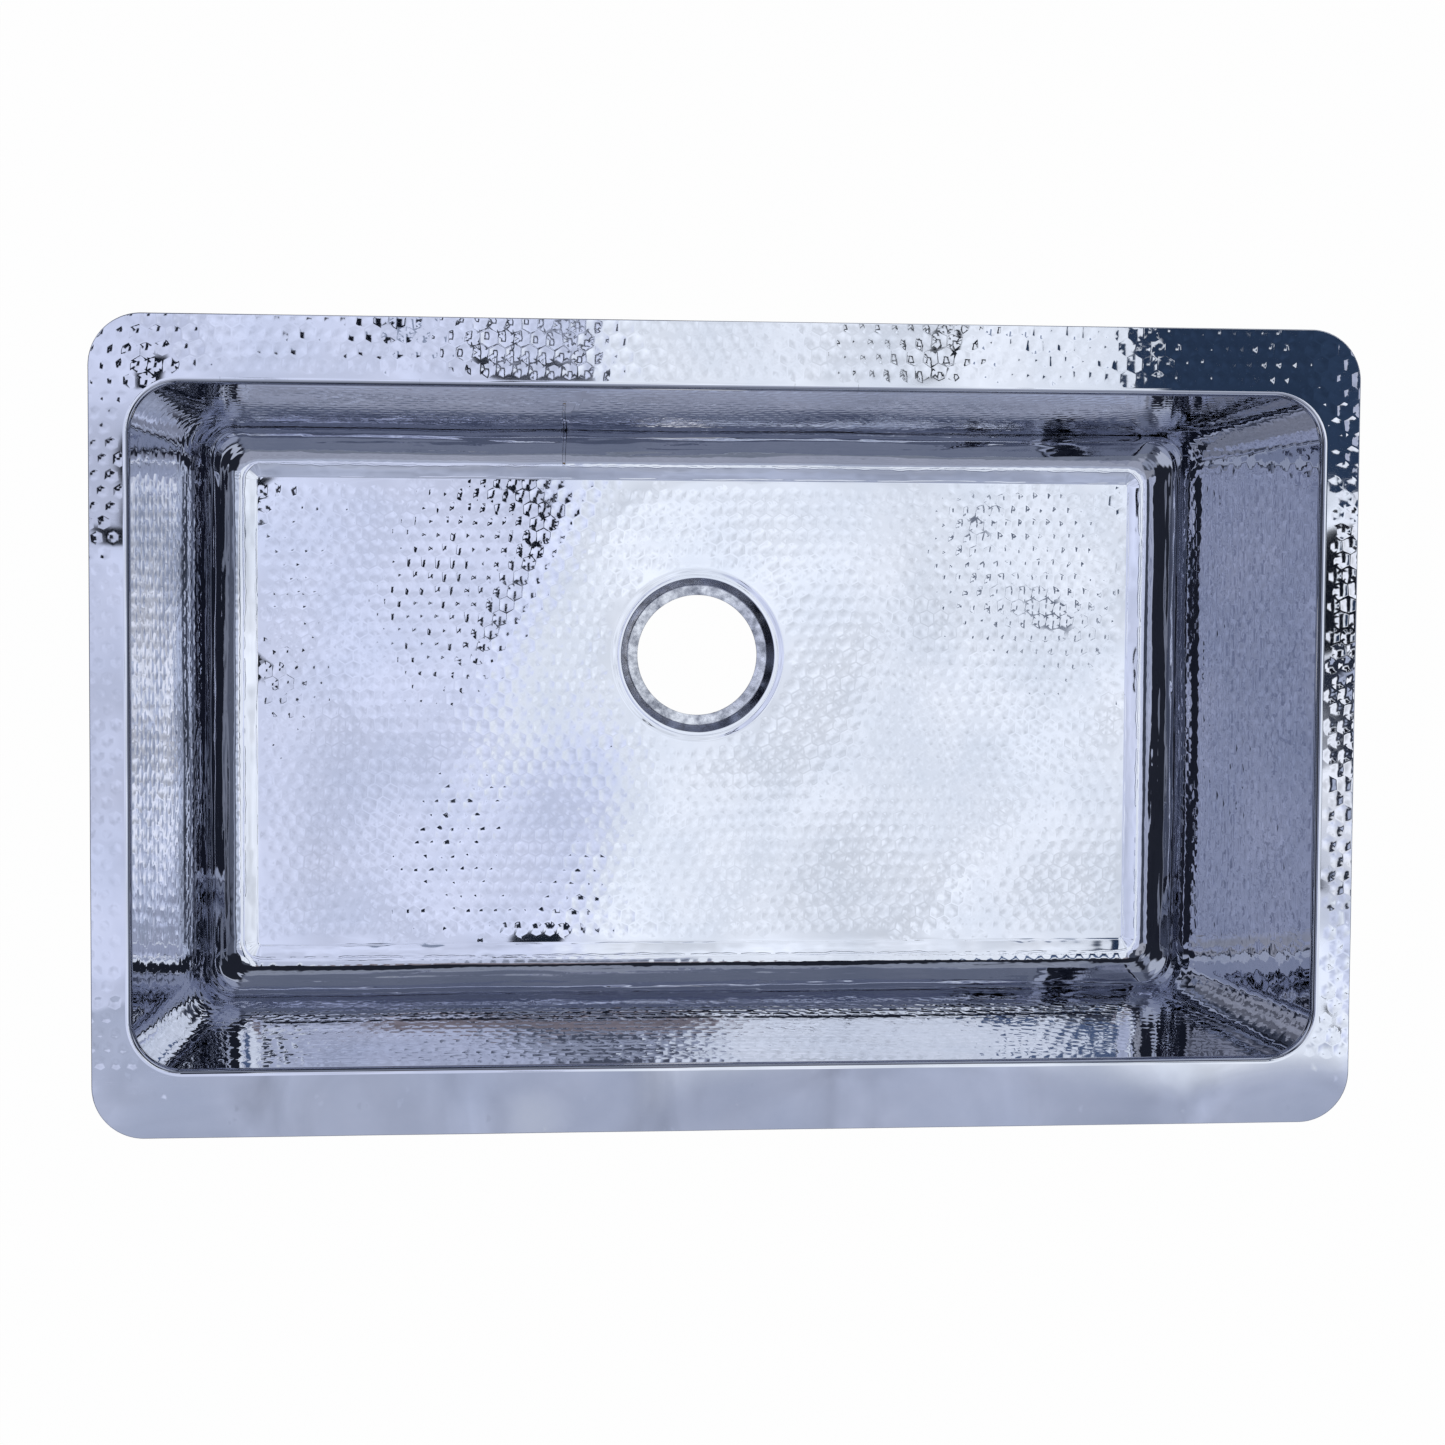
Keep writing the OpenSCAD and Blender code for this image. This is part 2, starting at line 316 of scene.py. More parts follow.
# %% Turn a hammered pattern into a closed shell
def steel_shell(cells, depth, slope, trim, bend, warp, keep=None, lip=None):
    """A closed shell. cells is what dent_cells gives; trim moves points onto the pattern and
    says which it moved; bend gives the place of a pattern point and its two tangents; warp
    gives the long waves. The seen face is the bent pattern moved down its normal by the depth,
    and the underside lies a sheet's thickness further. lip, if given, makes the rows of points
    that close the edge, and otherwise the edge is cut square.
    Returns points, triangles, normals and a flag that says which triangles are polished."""
    plan, points, whole = cells
    plan, moved = trim(plan)
    take = whole if keep is None else whole & keep
    own = points[take]
    top = own[:, FULL_CELL].reshape(-1, 3)
    top = top[~moved[top].all(1)]
    at_edge = moved[own].any(1)
    fine, plain = own[at_edge][:, FULL_CELL], own[~at_edge][:, PLAIN_CELL]
    under = np.concatenate([fine.reshape(-1, 3), plain.reshape(-1, 3)])
    under = under[~moved[under].all(1)]
    used = np.unique(np.concatenate([top.ravel(), under.ravel()]))
    _, first, same = np.unique(np.round(plan[used], 3), axis=0, return_index=True, return_inverse=True)
    renumber = np.zeros(len(plan), int)
    renumber[used] = same.ravel()
    pick = used[first]

    def tidy(t):
        t = renumber[t]
        return t[(t[:, 0] != t[:, 1]) & (t[:, 1] != t[:, 2]) & (t[:, 2] != t[:, 0])]

    top, under = tidy(top), tidy(under)
    a, b = plan[pick, 0], plan[pick, 1]
    place, along_a, along_b = bend(a, b)
    wave, wave_a, wave_b = warp(a, b)
    down = unit(np.cross(along_a, along_b))
    facing = unit(np.cross(
        along_a - (slope[pick, 0] + wave_a)[:, None] * down,
        along_b - (slope[pick, 1] + wave_b)[:, None] * down,
    ))
    seen = place - (depth[pick] + wave)[:, None] * down
    back = seen - SHEET * down
    count = len(pick)
    edges = np.concatenate([top[:, [0, 1]], top[:, [1, 2]], top[:, [2, 0]]])
    key, mirrored = edges[:, 0] * count + edges[:, 1], edges[:, 1] * count + edges[:, 0]
    edges = edges[~np.isin(key, mirrored)]
    rows = [(seen, facing)] + (lip(plan[pick], seen, back) if lip else []) + [(back, -facing)]
    middle_rows = len(rows) - 2
    all_points = np.concatenate([seen, back] + [r[0] for r in rows[1:-1]])
    all_normals = np.concatenate([facing, -facing] + [r[1] for r in rows[1:-1]])
    number = [0] + [(2 + k) * count for k in range(middle_rows)] + [count]
    sides = []
    for here, below in zip(number[:-1], number[1:]):
        p, q = edges[:, 0], edges[:, 1]
        sides.append(np.stack([q + here, p + here, p + below], 1))
        sides.append(np.stack([q + here, p + below, q + below], 1))
    triangles = np.concatenate([top, under[:, ::-1] + count] + sides)
    polished = np.zeros(len(triangles), bool)
    polished[: len(top)] = True
    start = len(top) + len(under)
    polished[start : start + len(edges) * 2 * (middle_rows * 3 // 4)] = bool(lip)
    live, triangles = np.unique(triangles.ravel(), return_inverse=True)
    return all_points[live], triangles.reshape(-1, 3), all_normals[live], polished


# %% [markdown]
# ## Colours and nodes
# Colours are written as a screen shows them, and one function turns them into the light
# values that Blender works with. One more small function adds a shader node.

# %% Helpers for materials
def light_of(hex_colour):
    """Linear light of an sRGB colour: each channel c becomes ((c + 0.055) / 1.055) to the power
    2.4, or c / 12.92 where c is very dark."""
    c = np.array([int(hex_colour[i : i + 2], 16) / 255 for i in (1, 3, 5)])
    c = np.where(c <= 0.04045, c / 12.92, ((c + 0.055) / 1.055) ** 2.4)
    return (*c.tolist(), 1.0)


def add_node(tree, kind, settings=None, links=None):
    """Adds one node, sets its properties and unlinked sockets, and links its named inputs."""
    node = tree.nodes.new(kind)
    for key, value in (settings or {}).items():
        if isinstance(key, str) and hasattr(node, key):
            setattr(node, key, value)
        else:
            node.inputs[key].default_value = value
    for key, source in (links or {}).items():
        tree.links.new(source, node.inputs[key])
    return node


def paint_ramp(ramp, stops):
    """Gives a colour ramp its stops, pairs of a position and an sRGB colour from low to high."""
    for end, (position, colour) in ((0, stops[0]), (1, stops[-1])):
        ramp.elements[end].position = position
        ramp.elements[end].color = light_of(colour)
    for position, colour in stops[1:-1]:
        ramp.elements.new(position).color = light_of(colour)


def new_finish(name, colour, roughness):
    """A metal in one colour, whose node tree the next lines add to."""
    finish = bpy.data.materials.new(name)
    finish.use_nodes = True
    shader = finish.node_tree.nodes["Principled BSDF"]
    shader.inputs["Base Color"].default_value = light_of(colour)
    shader.inputs["Metallic"].default_value = 1.0
    shader.inputs["Roughness"].default_value = roughness
    return finish, finish.node_tree, shader


# %% [markdown]
# ## Finishes
# - Mirror-polished stainless steel: chromium steel worked up with finer and finer wheels. What
#   is left is a slight haze that comes and goes, and short hairlines from wiping.
# - Mill-finish stainless steel: the back of the sheet, as it came from the rolling mill. It is
#   grey and satin, with a faint grain along the roll.
# - Pressed ring: the same steel from a press, brushed round and round and dulled by water.
# - Weld metal: ripples with straw, bronze and blue where the heat has tinted the steel.

# %% Mirror-polished stainless steel
# Roughness stays near 0, so the eye sees the room in it, and only the haze softens it.
POLISHED, tree, shader = new_finish("mirror_polished_stainless", "#D5D8E2", 0.07)
where = add_node(tree, "ShaderNodeTexCoord").outputs["Object"]
settings = {"Scale": 14.0, "Detail": 4.0, "Roughness": 0.6}
haze = add_node(tree, "ShaderNodeTexNoise", settings, {"Vector": where})
settings = {"Rotation": (0, 0, 0.5), "Scale": (60.0, 2400.0, 300.0)}
wiped = add_node(tree, "ShaderNodeMapping", settings, {"Vector": where})
settings = {"Scale": 1.0, "Detail": 2.0}
hairlines = add_node(tree, "ShaderNodeTexNoise", settings, {"Vector": wiped.outputs[0]})
settings = {"From Min": 0.35, "From Max": 0.7, "To Min": 0.008, "To Max": 0.035}
rough = add_node(tree, "ShaderNodeMapRange", settings, {"Value": haze.outputs[0]})
settings = {"From Min": 0.62, "From Max": 0.8, "To Min": 0.0, "To Max": 0.04}
scratch = add_node(tree, "ShaderNodeMapRange", settings, {"Value": hairlines.outputs[0]})
both = {0: rough.outputs[0], 1: scratch.outputs[0]}
total = add_node(tree, "ShaderNodeMath", {"operation": "ADD"}, both)
tree.links.new(total.outputs[0], shader.inputs["Roughness"])
shade = add_node(tree, "ShaderNodeValToRGB", {}, {"Fac": haze.outputs[0]})
paint_ramp(shade.color_ramp, [(0.35, "#DADCE5"), (0.7, "#CED2DD")])
tree.links.new(shade.outputs[0], shader.inputs["Base Color"])
print("finish:", POLISHED.name)

# %% Mill-finish stainless steel
# The grain is drawn coarser than the real one, which is too fine to show in the picture.
MILL, tree, shader = new_finish("mill_finish_stainless", "#B4B6BC", 0.34)
where = add_node(tree, "ShaderNodeTexCoord").outputs["Object"]
rolled = add_node(tree, "ShaderNodeMapping", {"Scale": (40.0, 900.0, 900.0)}, {"Vector": where})
settings = {"Scale": 1.0, "Detail": 3.0}
grain = add_node(tree, "ShaderNodeTexNoise", settings, {"Vector": rolled.outputs[0]})
cloud = add_node(tree, "ShaderNodeTexNoise", {"Scale": 9.0, "Detail": 5.0}, {"Vector": where})
settings = {"From Min": 0.3, "From Max": 0.7, "To Min": 0.24, "To Max": 0.42}
rough = add_node(tree, "ShaderNodeMapRange", settings, {"Value": grain.outputs[0]})
tree.links.new(rough.outputs[0], shader.inputs["Roughness"])
shade = add_node(tree, "ShaderNodeValToRGB", {}, {"Fac": cloud.outputs[0]})
paint_ramp(shade.color_ramp, [(0.3, "#BBBDC3"), (0.72, "#A4A6AD")])
tree.links.new(shade.outputs[0], shader.inputs["Base Color"])
settings = {"Strength": 0.15, "Distance": 0.00003}
bump = add_node(tree, "ShaderNodeBump", settings, {"Height": grain.outputs[0]})
tree.links.new(bump.outputs[0], shader.inputs["Normal"])
print("finish:", MILL.name)

# %% Pressed drain ring
# The brushed lines are a noise of the distance from the hole's middle, so they run in circles.
PRESSED, tree, shader = new_finish("pressed_semi_bright_stainless", "#BFC1C8", 0.26)
where = add_node(tree, "ShaderNodeTexCoord").outputs["Object"]
settings = {"operation": "SUBTRACT", 1: (0.0, 0.042, 0.0)}
centred = add_node(tree, "ShaderNodeVectorMath", settings, {0: where})
settings = {"operation": "MULTIPLY", 1: (1.0, 1.0, 0.0)}
flat = add_node(tree, "ShaderNodeVectorMath", settings, {0: centred.outputs[0]})
radius = add_node(tree, "ShaderNodeVectorMath", {"operation": "LENGTH"}, {0: flat.outputs[0]})
settings = {"noise_dimensions": "1D", "Scale": 1500.0, "Detail": 2.0}
rings = add_node(tree, "ShaderNodeTexNoise", settings, {"W": radius.outputs["Value"]})
settings = {"Scale": 130.0, "Detail": 6.0, "Roughness": 0.65}
stain = add_node(tree, "ShaderNodeTexNoise", settings, {"Vector": where})
settings = {"From Min": 0.35, "From Max": 0.68, "To Min": 0.08, "To Max": 0.30}
rough = add_node(tree, "ShaderNodeMapRange", settings, {"Value": stain.outputs[0]})
tree.links.new(rough.outputs[0], shader.inputs["Roughness"])
shade = add_node(tree, "ShaderNodeValToRGB", {}, {"Fac": stain.outputs[0]})
paint_ramp(shade.color_ramp, [(0.36, "#DADCE4"), (0.66, "#8A8D97")])
tree.links.new(shade.outputs[0], shader.inputs["Base Color"])
settings = {"Strength": 0.35, "Distance": 0.00005}
bump = add_node(tree, "ShaderNodeBump", settings, {"Height": rings.outputs[0]})
tree.links.new(bump.outputs[0], shader.inputs["Normal"])
print("finish:", PRESSED.name)

# %% Weld metal with its heat tint
# Straw, bronze and violet follow each other as they do where steel grew hotter.
WELD, tree, shader = new_finish("heat_tinted_weld_metal", "#8F8A88", 0.38)
HEAT_TINT = [
    (0.3, "#A9A29A"), (0.42, "#A58D6C"), (0.55, "#86705F"), (0.63, "#6C6478"), (0.72, "#5F6474"),
]
where = add_node(tree, "ShaderNodeTexCoord").outputs["Object"]
tint = add_node(tree, "ShaderNodeTexNoise", {"Scale": 55.0, "Detail": 3.0}, {"Vector": where})
shade = add_node(tree, "ShaderNodeValToRGB", {}, {"Fac": tint.outputs[0]})
paint_ramp(shade.color_ramp, HEAT_TINT)
tree.links.new(shade.outputs[0], shader.inputs["Base Color"])
settings = {"From Min": 0.3, "From Max": 0.7, "To Min": 0.28, "To Max": 0.5}
rough = add_node(tree, "ShaderNodeMapRange", settings, {"Value": tint.outputs[0]})
tree.links.new(rough.outputs[0], shader.inputs["Roughness"])
print("finish:", WELD.name)

# %% [markdown]
# ## The flange
# On the real sink the flange is a flat frame of hammered sheet. Its outer edge is ground
# round, and its inner edge is rolled over a quarter turn into a smooth lip. The pattern is the
# flat frame, and the lip and the outer edge are profiles carried along its two outlines.

# %% Flange
SHOULDER, ROLL, FLANGE_SINK = 1.4, 3.4, 0.35
SHOULDER_CURVE = 0.02
LIP_CLEAR = 1.5
FRONT_WEAR, LEFT_WEAR = 0.16, 0.5
LIP_WIDTH = SHOULDER + ROLL
LIP_HALF, LIP_CORNER = OPEN_HALF + LIP_WIDTH, OPEN_CORNER + LIP_WIDTH
EDGE_ROUND = 0.6
EDGE_HALF, EDGE_CORNER = FLANGE_HALF - EDGE_ROUND, FLANGE_CORNER - EDGE_ROUND


def lip_profile():
    """The lip's outer line: a narrow shoulder that begins to fall, then a quarter of an ellipse
    down to the edge. Gives distance inwards, height and tilt of the normal."""
    w = np.linspace(0, SHOULDER, 5)[1:]
    fall = FLANGE_SINK * w / SHOULDER + SHOULDER_CURVE * w**2
    tilt = np.arctan(2 * SHOULDER_CURVE * w)
    turn = np.linspace(tilt[-1], math.pi / 2, 9)[1:]
    wide = ROLL / (1 - math.sin(tilt[-1]))
    deep = (LIP_R - fall[-1]) / math.cos(tilt[-1])
    inward = np.concatenate([w, SHOULDER + wide * (np.sin(turn) - math.sin(tilt[-1]))])
    level = np.concatenate([-fall, -LIP_R + deep * np.cos(turn)])
    tilt = np.concatenate([tilt, np.arctan2(np.sin(turn) * deep, np.cos(turn) * wide)])
    return inward, level, tilt


def flange_strength(x, y):
    """1 over the flat frame, less at the front and on the left, where the polishing wheel has
    nearly taken the dents away, and 0 where a dent would reach into the smooth lip."""
    _, _, far = off_core(np.stack([x.ravel(), y.ravel()], 1), LIP_HALF, LIP_CORNER)
    worn = np.where(y < -OPEN_HALF[1], FRONT_WEAR, np.where(x < -OPEN_HALF[0], LEFT_WEAR, 1.0))
    return worn * (far.reshape(x.shape) > LIP_CORNER + LIP_CLEAR)


def flange_trim(p):
    p, outside = push_inside(p, EDGE_HALF, EDGE_CORNER)
    p, hidden = push_outside(p, LIP_HALF, LIP_CORNER)
    return p, outside | hidden


def flange_bend(a, b):
    """The frame stays flat, a little under the height of the top face."""
    one, nil = np.ones_like(a), np.zeros_like(a)
    return np.stack([a, b, nil], 1), np.stack([one, nil, nil], 1), np.stack([nil, one, nil], 1)


def flange_warp(a, b):
    height, slope_a, slope_b = sheet_waves(a, b, 3)
    return height + FLANGE_SINK, slope_a, slope_b


def flange_edges(plan, seen, back):
    """Rows of points that close the flange. At the opening they go down the lip's outer line
    and back up a sheet's thickness behind it, at every second station of that line. At the
    outer edge they round it off."""
    _, _, far = off_core(plan, (EDGE_HALF + LIP_HALF) / 2, (EDGE_CORNER + LIP_CORNER) / 2)
    inner = (far < (EDGE_CORNER + LIP_CORNER) / 2)[:, None]
    inward = -outline_normal(plan, LIP_HALF, LIP_CORNER)
    outward = outline_normal(plan, EDGE_HALF, EDGE_CORNER)
    reach, level, tilt = lip_profile()
    outer = [(reach[k], level[k], tilt[k], 1) for k in range(len(reach))]
    under = [
        (reach[k] - SHEET * math.sin(tilt[k]), level[k] - SHEET * math.cos(tilt[k]), tilt[k], -1)
        for k in (11, 9, 7, 5, 3)
    ]
    path = outer + under
    rows = []
    for k, (distance, height, lean, side) in enumerate(path):
        blend = max(0.0, 1 - distance / SHOULDER)
        lip = np.concatenate([plan + inward * distance, (seen[:, 2] * blend + height)[:, None]], 1)
        up = np.full((len(plan), 1), side * math.cos(lean))
        lip_n = np.concatenate([side * inward * math.sin(lean), up], 1)
        share = (k + 1) / (len(path) + 1)
        bow = min(1.0, 1.6 * math.sin(math.pi * share))
        rim_z = (seen[:, 2] - SHEET * share)[:, None]
        rim = np.concatenate([plan + outward * EDGE_ROUND * bow, rim_z], 1)
        up = np.full((len(plan), 1), math.cos(math.pi * share))
        rim_n = np.concatenate([outward * math.sin(math.pi * share), up], 1)
        rows.append((np.where(inner, lip, rim), np.where(inner, lip_n, rim_n)))
    return rows


pattern = dent_rows(-FLANGE_HALF, FLANGE_HALF, 11, flange_strength)
cells = dent_cells(*pattern)
depth, slope = dent_depth(cells[0], *pattern)
shell = steel_shell(cells, depth, slope, flange_trim, flange_bend, flange_warp, lip=flange_edges)
make_piece("flange_sheet", *shell[:3], [POLISHED, MILL], ~shell[3], "flange", "hammered_steel")

# %% [markdown]
# ## The walls
# One strip of hammered sheet is bent right round the bowl. It leans outwards, its corners
# tighten on the way down, and its foot is turned in to make the cove. Its pattern is a long
# flat strip: one direction runs along it, from the seam in the back wall round to the seam
# again, and the other runs down it.

# %% Shape of the bowl
def lean_of(opening, floor):
    """Lean of a wall from the vertical: it runs straight from the lip down to touch the cove."""
    dx, dz = opening - floor, LIP_Z - COVE_Z
    return math.acos(COVE_R / math.hypot(dx, dz)) - math.atan2(dz, dx)


LEAN = [lean_of(OPEN_HALF[i], FLOOR_HALF[i]) for i in (0, 1)]
WALL_DROP = LIP_Z - COVE_Z
WALL_LENGTH = WALL_DROP + COVE_R * math.pi / 2
COVE_BULGE, BULGE_START = -0.07, 0.21


def cove_turn(t):
    """Turn of the cove at a distance t down the strip: 0 at its top, a right angle at its end."""
    return np.clip((t - WALL_DROP) / COVE_R, 0, math.pi / 2)


def cove_reach(turn):
    """Distance from the cove's middle: its radius, and a little less half-way, because the
    strip was pressed in two steps and bent more sharply near both ends."""
    share = np.clip((turn - BULGE_START) / (math.pi / 2 - BULGE_START), 0, 1)
    return COVE_R * (1 + COVE_BULGE * np.sin(math.pi * share) ** 2)


def wall_height(t):
    """Height at a distance t down the strip: straight down to the cove, then round it."""
    turn = cove_turn(t)
    return np.where(t < WALL_DROP, LIP_Z - t, COVE_Z - cove_reach(turn) * np.sin(turn))


def half_width(i, t):
    """Half width of the bowl along axis i at a distance t down the strip: a straight line
    above the point where the wall touches the cove, and the cove below it."""
    turn = cove_turn(t)
    touch = COVE_Z - COVE_R * math.sin(LEAN[i])
    wall = FLOOR_HALF[i] + COVE_R * math.cos(LEAN[i]) + (wall_height(t) - touch) * math.tan(LEAN[i])
    return np.where(turn < LEAN[i], wall, FLOOR_HALF[i] + cove_reach(turn) * np.cos(turn))


def corner_middle(i, z):
    """Middle of a corner's arc at height z: it moves in as the corner tightens to the floor."""
    at_cove = float(half_width(i, WALL_DROP)) - COVE_CORNER
    ends = [FLOOR_HALF[i] - FLOOR_CORNER, at_cove, OPEN_HALF[i] - OPEN_CORNER]
    return np.interp(z, [FLOOR_Z, COVE_Z, LIP_Z], ends)


# Stations along the strip: distance, offset from the corners' middles, turn in degrees
CORNER_RUN = 44.0
RUNS = [247.0, CORNER_RUN, 373.0, CORNER_RUN, 696.0, CORNER_RUN, 373.0, CORNER_RUN, 447.0]
STATION = np.concatenate([[0.0], np.cumsum(RUNS)])
FIXED_X = [SEAM_X - SEAM_GAP / 2, 0, 0, 0, 0, 0, 0, 0, 0, SEAM_X + SEAM_GAP / 2]
SHARE_X = [0, -1, -1, -1, -1, 1, 1, 1, 1, 0]
SHARE_Y = [1, 1, 1, -1, -1, -1, -1, 1, 1, 1]
TURN = [90, 90, 180, 180, 270, 270, 360, 360, 450, 450]
STRIP_LENGTH = STATION[-1]


def wall_point(s, t):
    """Place of the strip's point (s, t): the corner arc's middle, plus a step to the wall in
    the direction that the strip faces at s."""
    z = wall_height(t)
    turn = np.radians(np.interp(s, STATION, TURN))
    cx, cy = corner_middle(0, z), corner_middle(1, z)
    x = np.interp(s, STATION, FIXED_X) + np.interp(s, STATION, SHARE_X) * cx
    y = np.interp(s, STATION, SHARE_Y) * cy
    x = x + (half_width(0, t) - cx) * np.cos(turn)
    y = y + (half_width(1, t) - cy) * np.sin(turn)
    return np.stack([x, y, z], 1)


def wall_bend(s, t):
    """Place and tangents of the strip, the tangents from points a small step away. The second
    runs down the wall, so their cross product points into the bowl."""
    step = 0.05
    along = wall_point(np.minimum(s + step, STRIP_LENGTH), t) - wall_point(np.maximum(s - step, 0), t)
    down = wall_point(s, np.minimum(t + step, WALL_LENGTH)) - wall_point(s, np.maximum(t - step, 0))
    run = np.where((s < step) | (s > STRIP_LENGTH - step), step, 2 * step)
    drop = np.where((t < step) | (t > WALL_LENGTH - step), step, 2 * step)
    return wall_point(s, t), along / run[:, None], down / drop[:, None]


print("strip", round(STRIP_LENGTH), "mm long and", round(WALL_LENGTH), "mm wide")

# %% Walls
SEAM_BAND = 5.0
COVE_TOP = WALL_DROP - 3.0
COVE_DENTS = 0.22
ROW_CLIMB = 4.5


def wall_strength(s, t):
    """Dents are full on the wall, flattened in the cove, where the strip was bent over a bar
    after it was hammered, and ground away beside the seam and along the upper and lower edge."""
    marks = [WALL_DROP - 12, WALL_DROP + 6, WALL_LENGTH - 15, WALL_LENGTH - 8]
    cove = np.interp(t, marks, [1.0, COVE_DENTS, COVE_DENTS, 0.8])
    clear = (s > SEAM_BAND) & (s < STRIP_LENGTH - SEAM_BAND) & (t > 4) & (t < WALL_LENGTH - 2)
    return cove * clear


def wall_trim(p):
    low, high = np.array([0.0, 0.0]), np.array([STRIP_LENGTH, COVE_TOP])
    inside = np.clip(p, low, high)
    return inside, (p != inside).any(1)


def wall_warp(s, t):
    """Long waves that die out at the strip's upper and lower edge, where it is welded."""
    height, slope_s, slope_t = sheet_waves(s, t, 5, slope=0.0045)
    calm = np.clip(np.minimum(t, WALL_LENGTH - t) / 25.0, 0, 1)
    return height * calm, slope_s * calm, slope_t * calm


x, y, r = dent_rows((0.0, 0.0), (STRIP_LENGTH, WALL_LENGTH), 23, lambda s, t: np.ones_like(s))
y = y + ROW_CLIMB * x / STRIP_LENGTH
r = r * np.sqrt(wall_strength(x, y))
cells = dent_cells(x, y, r)
depth, slope = dent_depth(cells[0], x, y, r, WALL_BALL_R)
column = np.tile(np.arange(x.shape[1]), x.shape[0])
corner_at = [(STATION[k] + STATION[k + 1]) / 2 for k in (1, 3, 5, 7)]
cuts = [-1] + [int(s / DENT_PITCH) + 2 for s in corner_at] + [x.shape[1]]
names = ["wall_back_left", "wall_left", "wall_front", "wall_right", "wall_back_right"]
for name, first, last in zip(names, cuts[:-1], cuts[1:]):
    part = (column >= first) & (column < last)
    shell = steel_shell(cells, depth, slope, wall_trim, wall_bend, wall_warp, keep=part)
    make_piece(name, *shell[:3], [POLISHED, MILL], ~shell[3], "wall_band", "hammered_steel")

# %% [markdown]
# The cove was bent over a bar after the hammering. That flattened its dents and left long, fine
# creases along it, which show as thin light and dark lines. They are much finer than a dent, so
# the cove isn't made of cells but of an even grid, with one point nearly every millimetre
# across it.

# %% Tubes and slabs
def tube_triangles(m, n):
    """Triangles between m lines of n points, closed in both directions."""
    i, j = np.indices((m, n))
    a, b = i * n + j, i * n + (j + 1) % n
    c, d = (i + 1) % m * n + (j + 1) % n, (i + 1) % m * n + j
    halves = [np.stack([a, b, c], 2), np.stack([a, c, d], 2)]
    return np.concatenate([half.reshape(-1, 3) for half in halves])


def capped(sections):
    """Tube with open ends closed by flat caps, each fanned from the middle of its end."""
    m, n, _ = sections.shape
    points = np.concatenate([sections.reshape(-1, 3), sections[[0, -1]].mean(1)])
    body = tube_triangles(m, n)
    body = body[(body.max(1) - body.min(1)) < n * (m - 1)]
    j = np.arange(n)
    k = (j + 1) % n
    first = np.stack([np.full(n, m * n), k, j], 1)
    last = np.stack([np.full(n, m * n + 1), (m - 1) * n + j, (m - 1) * n + k], 1)
    return points, np.concatenate([body, first, last])


def slab(top, closed, skip=4):
    """Sheet of steel whose seen face is the grid top, m lines along by n points across. The
    back has one point for every skip of the face. Gives points, triangles, normals and a flag
    that says which triangles are on the seen side."""
    if closed:
        along = np.roll(top, -1, 0) - np.roll(top, 1, 0)
    else:
        along = np.gradient(top, axis=0)
    across = np.gradient(top, axis=1)
    facing = np.cross(along, across)
    facing = facing / np.linalg.norm(facing, axis=2, keepdims=True)
    m, n, _ = top.shape
    behind = np.unique(np.append(np.arange(0, n, skip), n - 1))[::-1]
    sections = np.concatenate([top, top[:, behind] - SHEET * facing[:, behind]], 1)
    normals = np.concatenate([facing, -facing[:, behind]], 1)
    width = sections.shape[1]
    if closed:
        points, triangles = sections.reshape(-1, 3), tube_triangles(m, width)
        normals = normals.reshape(-1, 3)
    else:
        points, triangles = capped(sections)
        normals = np.concatenate([normals.reshape(-1, 3), -along[[0], 0], along[[-1], 0]])
    in_face = (triangles % width < n).all(1) & (triangles < m * width).all(1)
    return points, triangles[:, ::-1], normals, in_face


# %% Cove
CREASE_SLOPE = 0.038


def creases(s, t, seed):
    """Height of the cove's creases: sines across it, 3 to 11 mm long, each of which swells and
    wanders slowly along it."""
    rng = np.random.default_rng(seed)
    height = np.zeros(s.shape)

    def slow(low, high):
        return np.sin(2 * math.pi * s / rng.uniform(low, high) + rng.uniform(0, 6.28))

    for length in (3.3, 4.5, 6.1, 8.3, 11.0):
        phase = 1.6 * slow(240, 520) + 0.9 * slow(90, 200) + 0.35 * slow(25, 60)
        swell = 0.6 + 0.4 * slow(70, 300)
        size = CREASE_SLOPE * length / (2 * math.pi)
        height += size * swell * np.sin(2 * math.pi * t / length + phase)
    return height


along_cove = np.linspace(0, STRIP_LENGTH, 771)
across_cove = np.linspace(COVE_TOP, WALL_LENGTH, 50)
s, t = (v.ravel() for v in np.meshgrid(along_cove, across_cove, indexing="ij"))
place, along, down = wall_bend(s, t)
fade = np.interp(t, [COVE_TOP, WALL_DROP + 6, WALL_LENGTH - 12, WALL_LENGTH], [0.0, 1.0, 0.8, 0.15])
sunk = cup_depth(s, t, x, y, r, WALL_BALL_R) + creases(s, t, 77) * fade + wall_warp(s, t)[0]
top = place - sunk[:, None] * unit(np.cross(along, down))
shell = slab(top.reshape(len(along_cove), len(across_cove), 3), closed=False)
make_piece("wall_cove", *shell[:3], [POLISHED, MILL], ~shell[3], "wall_band", "hammered_steel")

# %% [markdown]
# ## The floor
# The floor panel is hammered like the rest and falls 3 mm to the drain, so that water runs off.
# It has a smooth band round its edge, 10 mm wide, where it was pressed for welding. The band
# takes the first 1.5 mm of the fall and ends in a fine wavy ridge where the hammering begins. The
# hammered field falls 1.2 mm, and a narrow collar that was pressed down round the hole takes the
# last 0.3 mm.

# %% Floor
BAND, BAND_DROP = 10.0, 1.5
PANEL_HALF, PANEL_CORNER = FLOOR_HALF - BAND, FLOOR_CORNER - BAND
COLLAR, COLLAR_DROP = 5.0, 0.3
HOLE_R = RING_R + COLLAR
SLOW_FALL = FLOOR_FALL - BAND_DROP - COLLAR_DROP


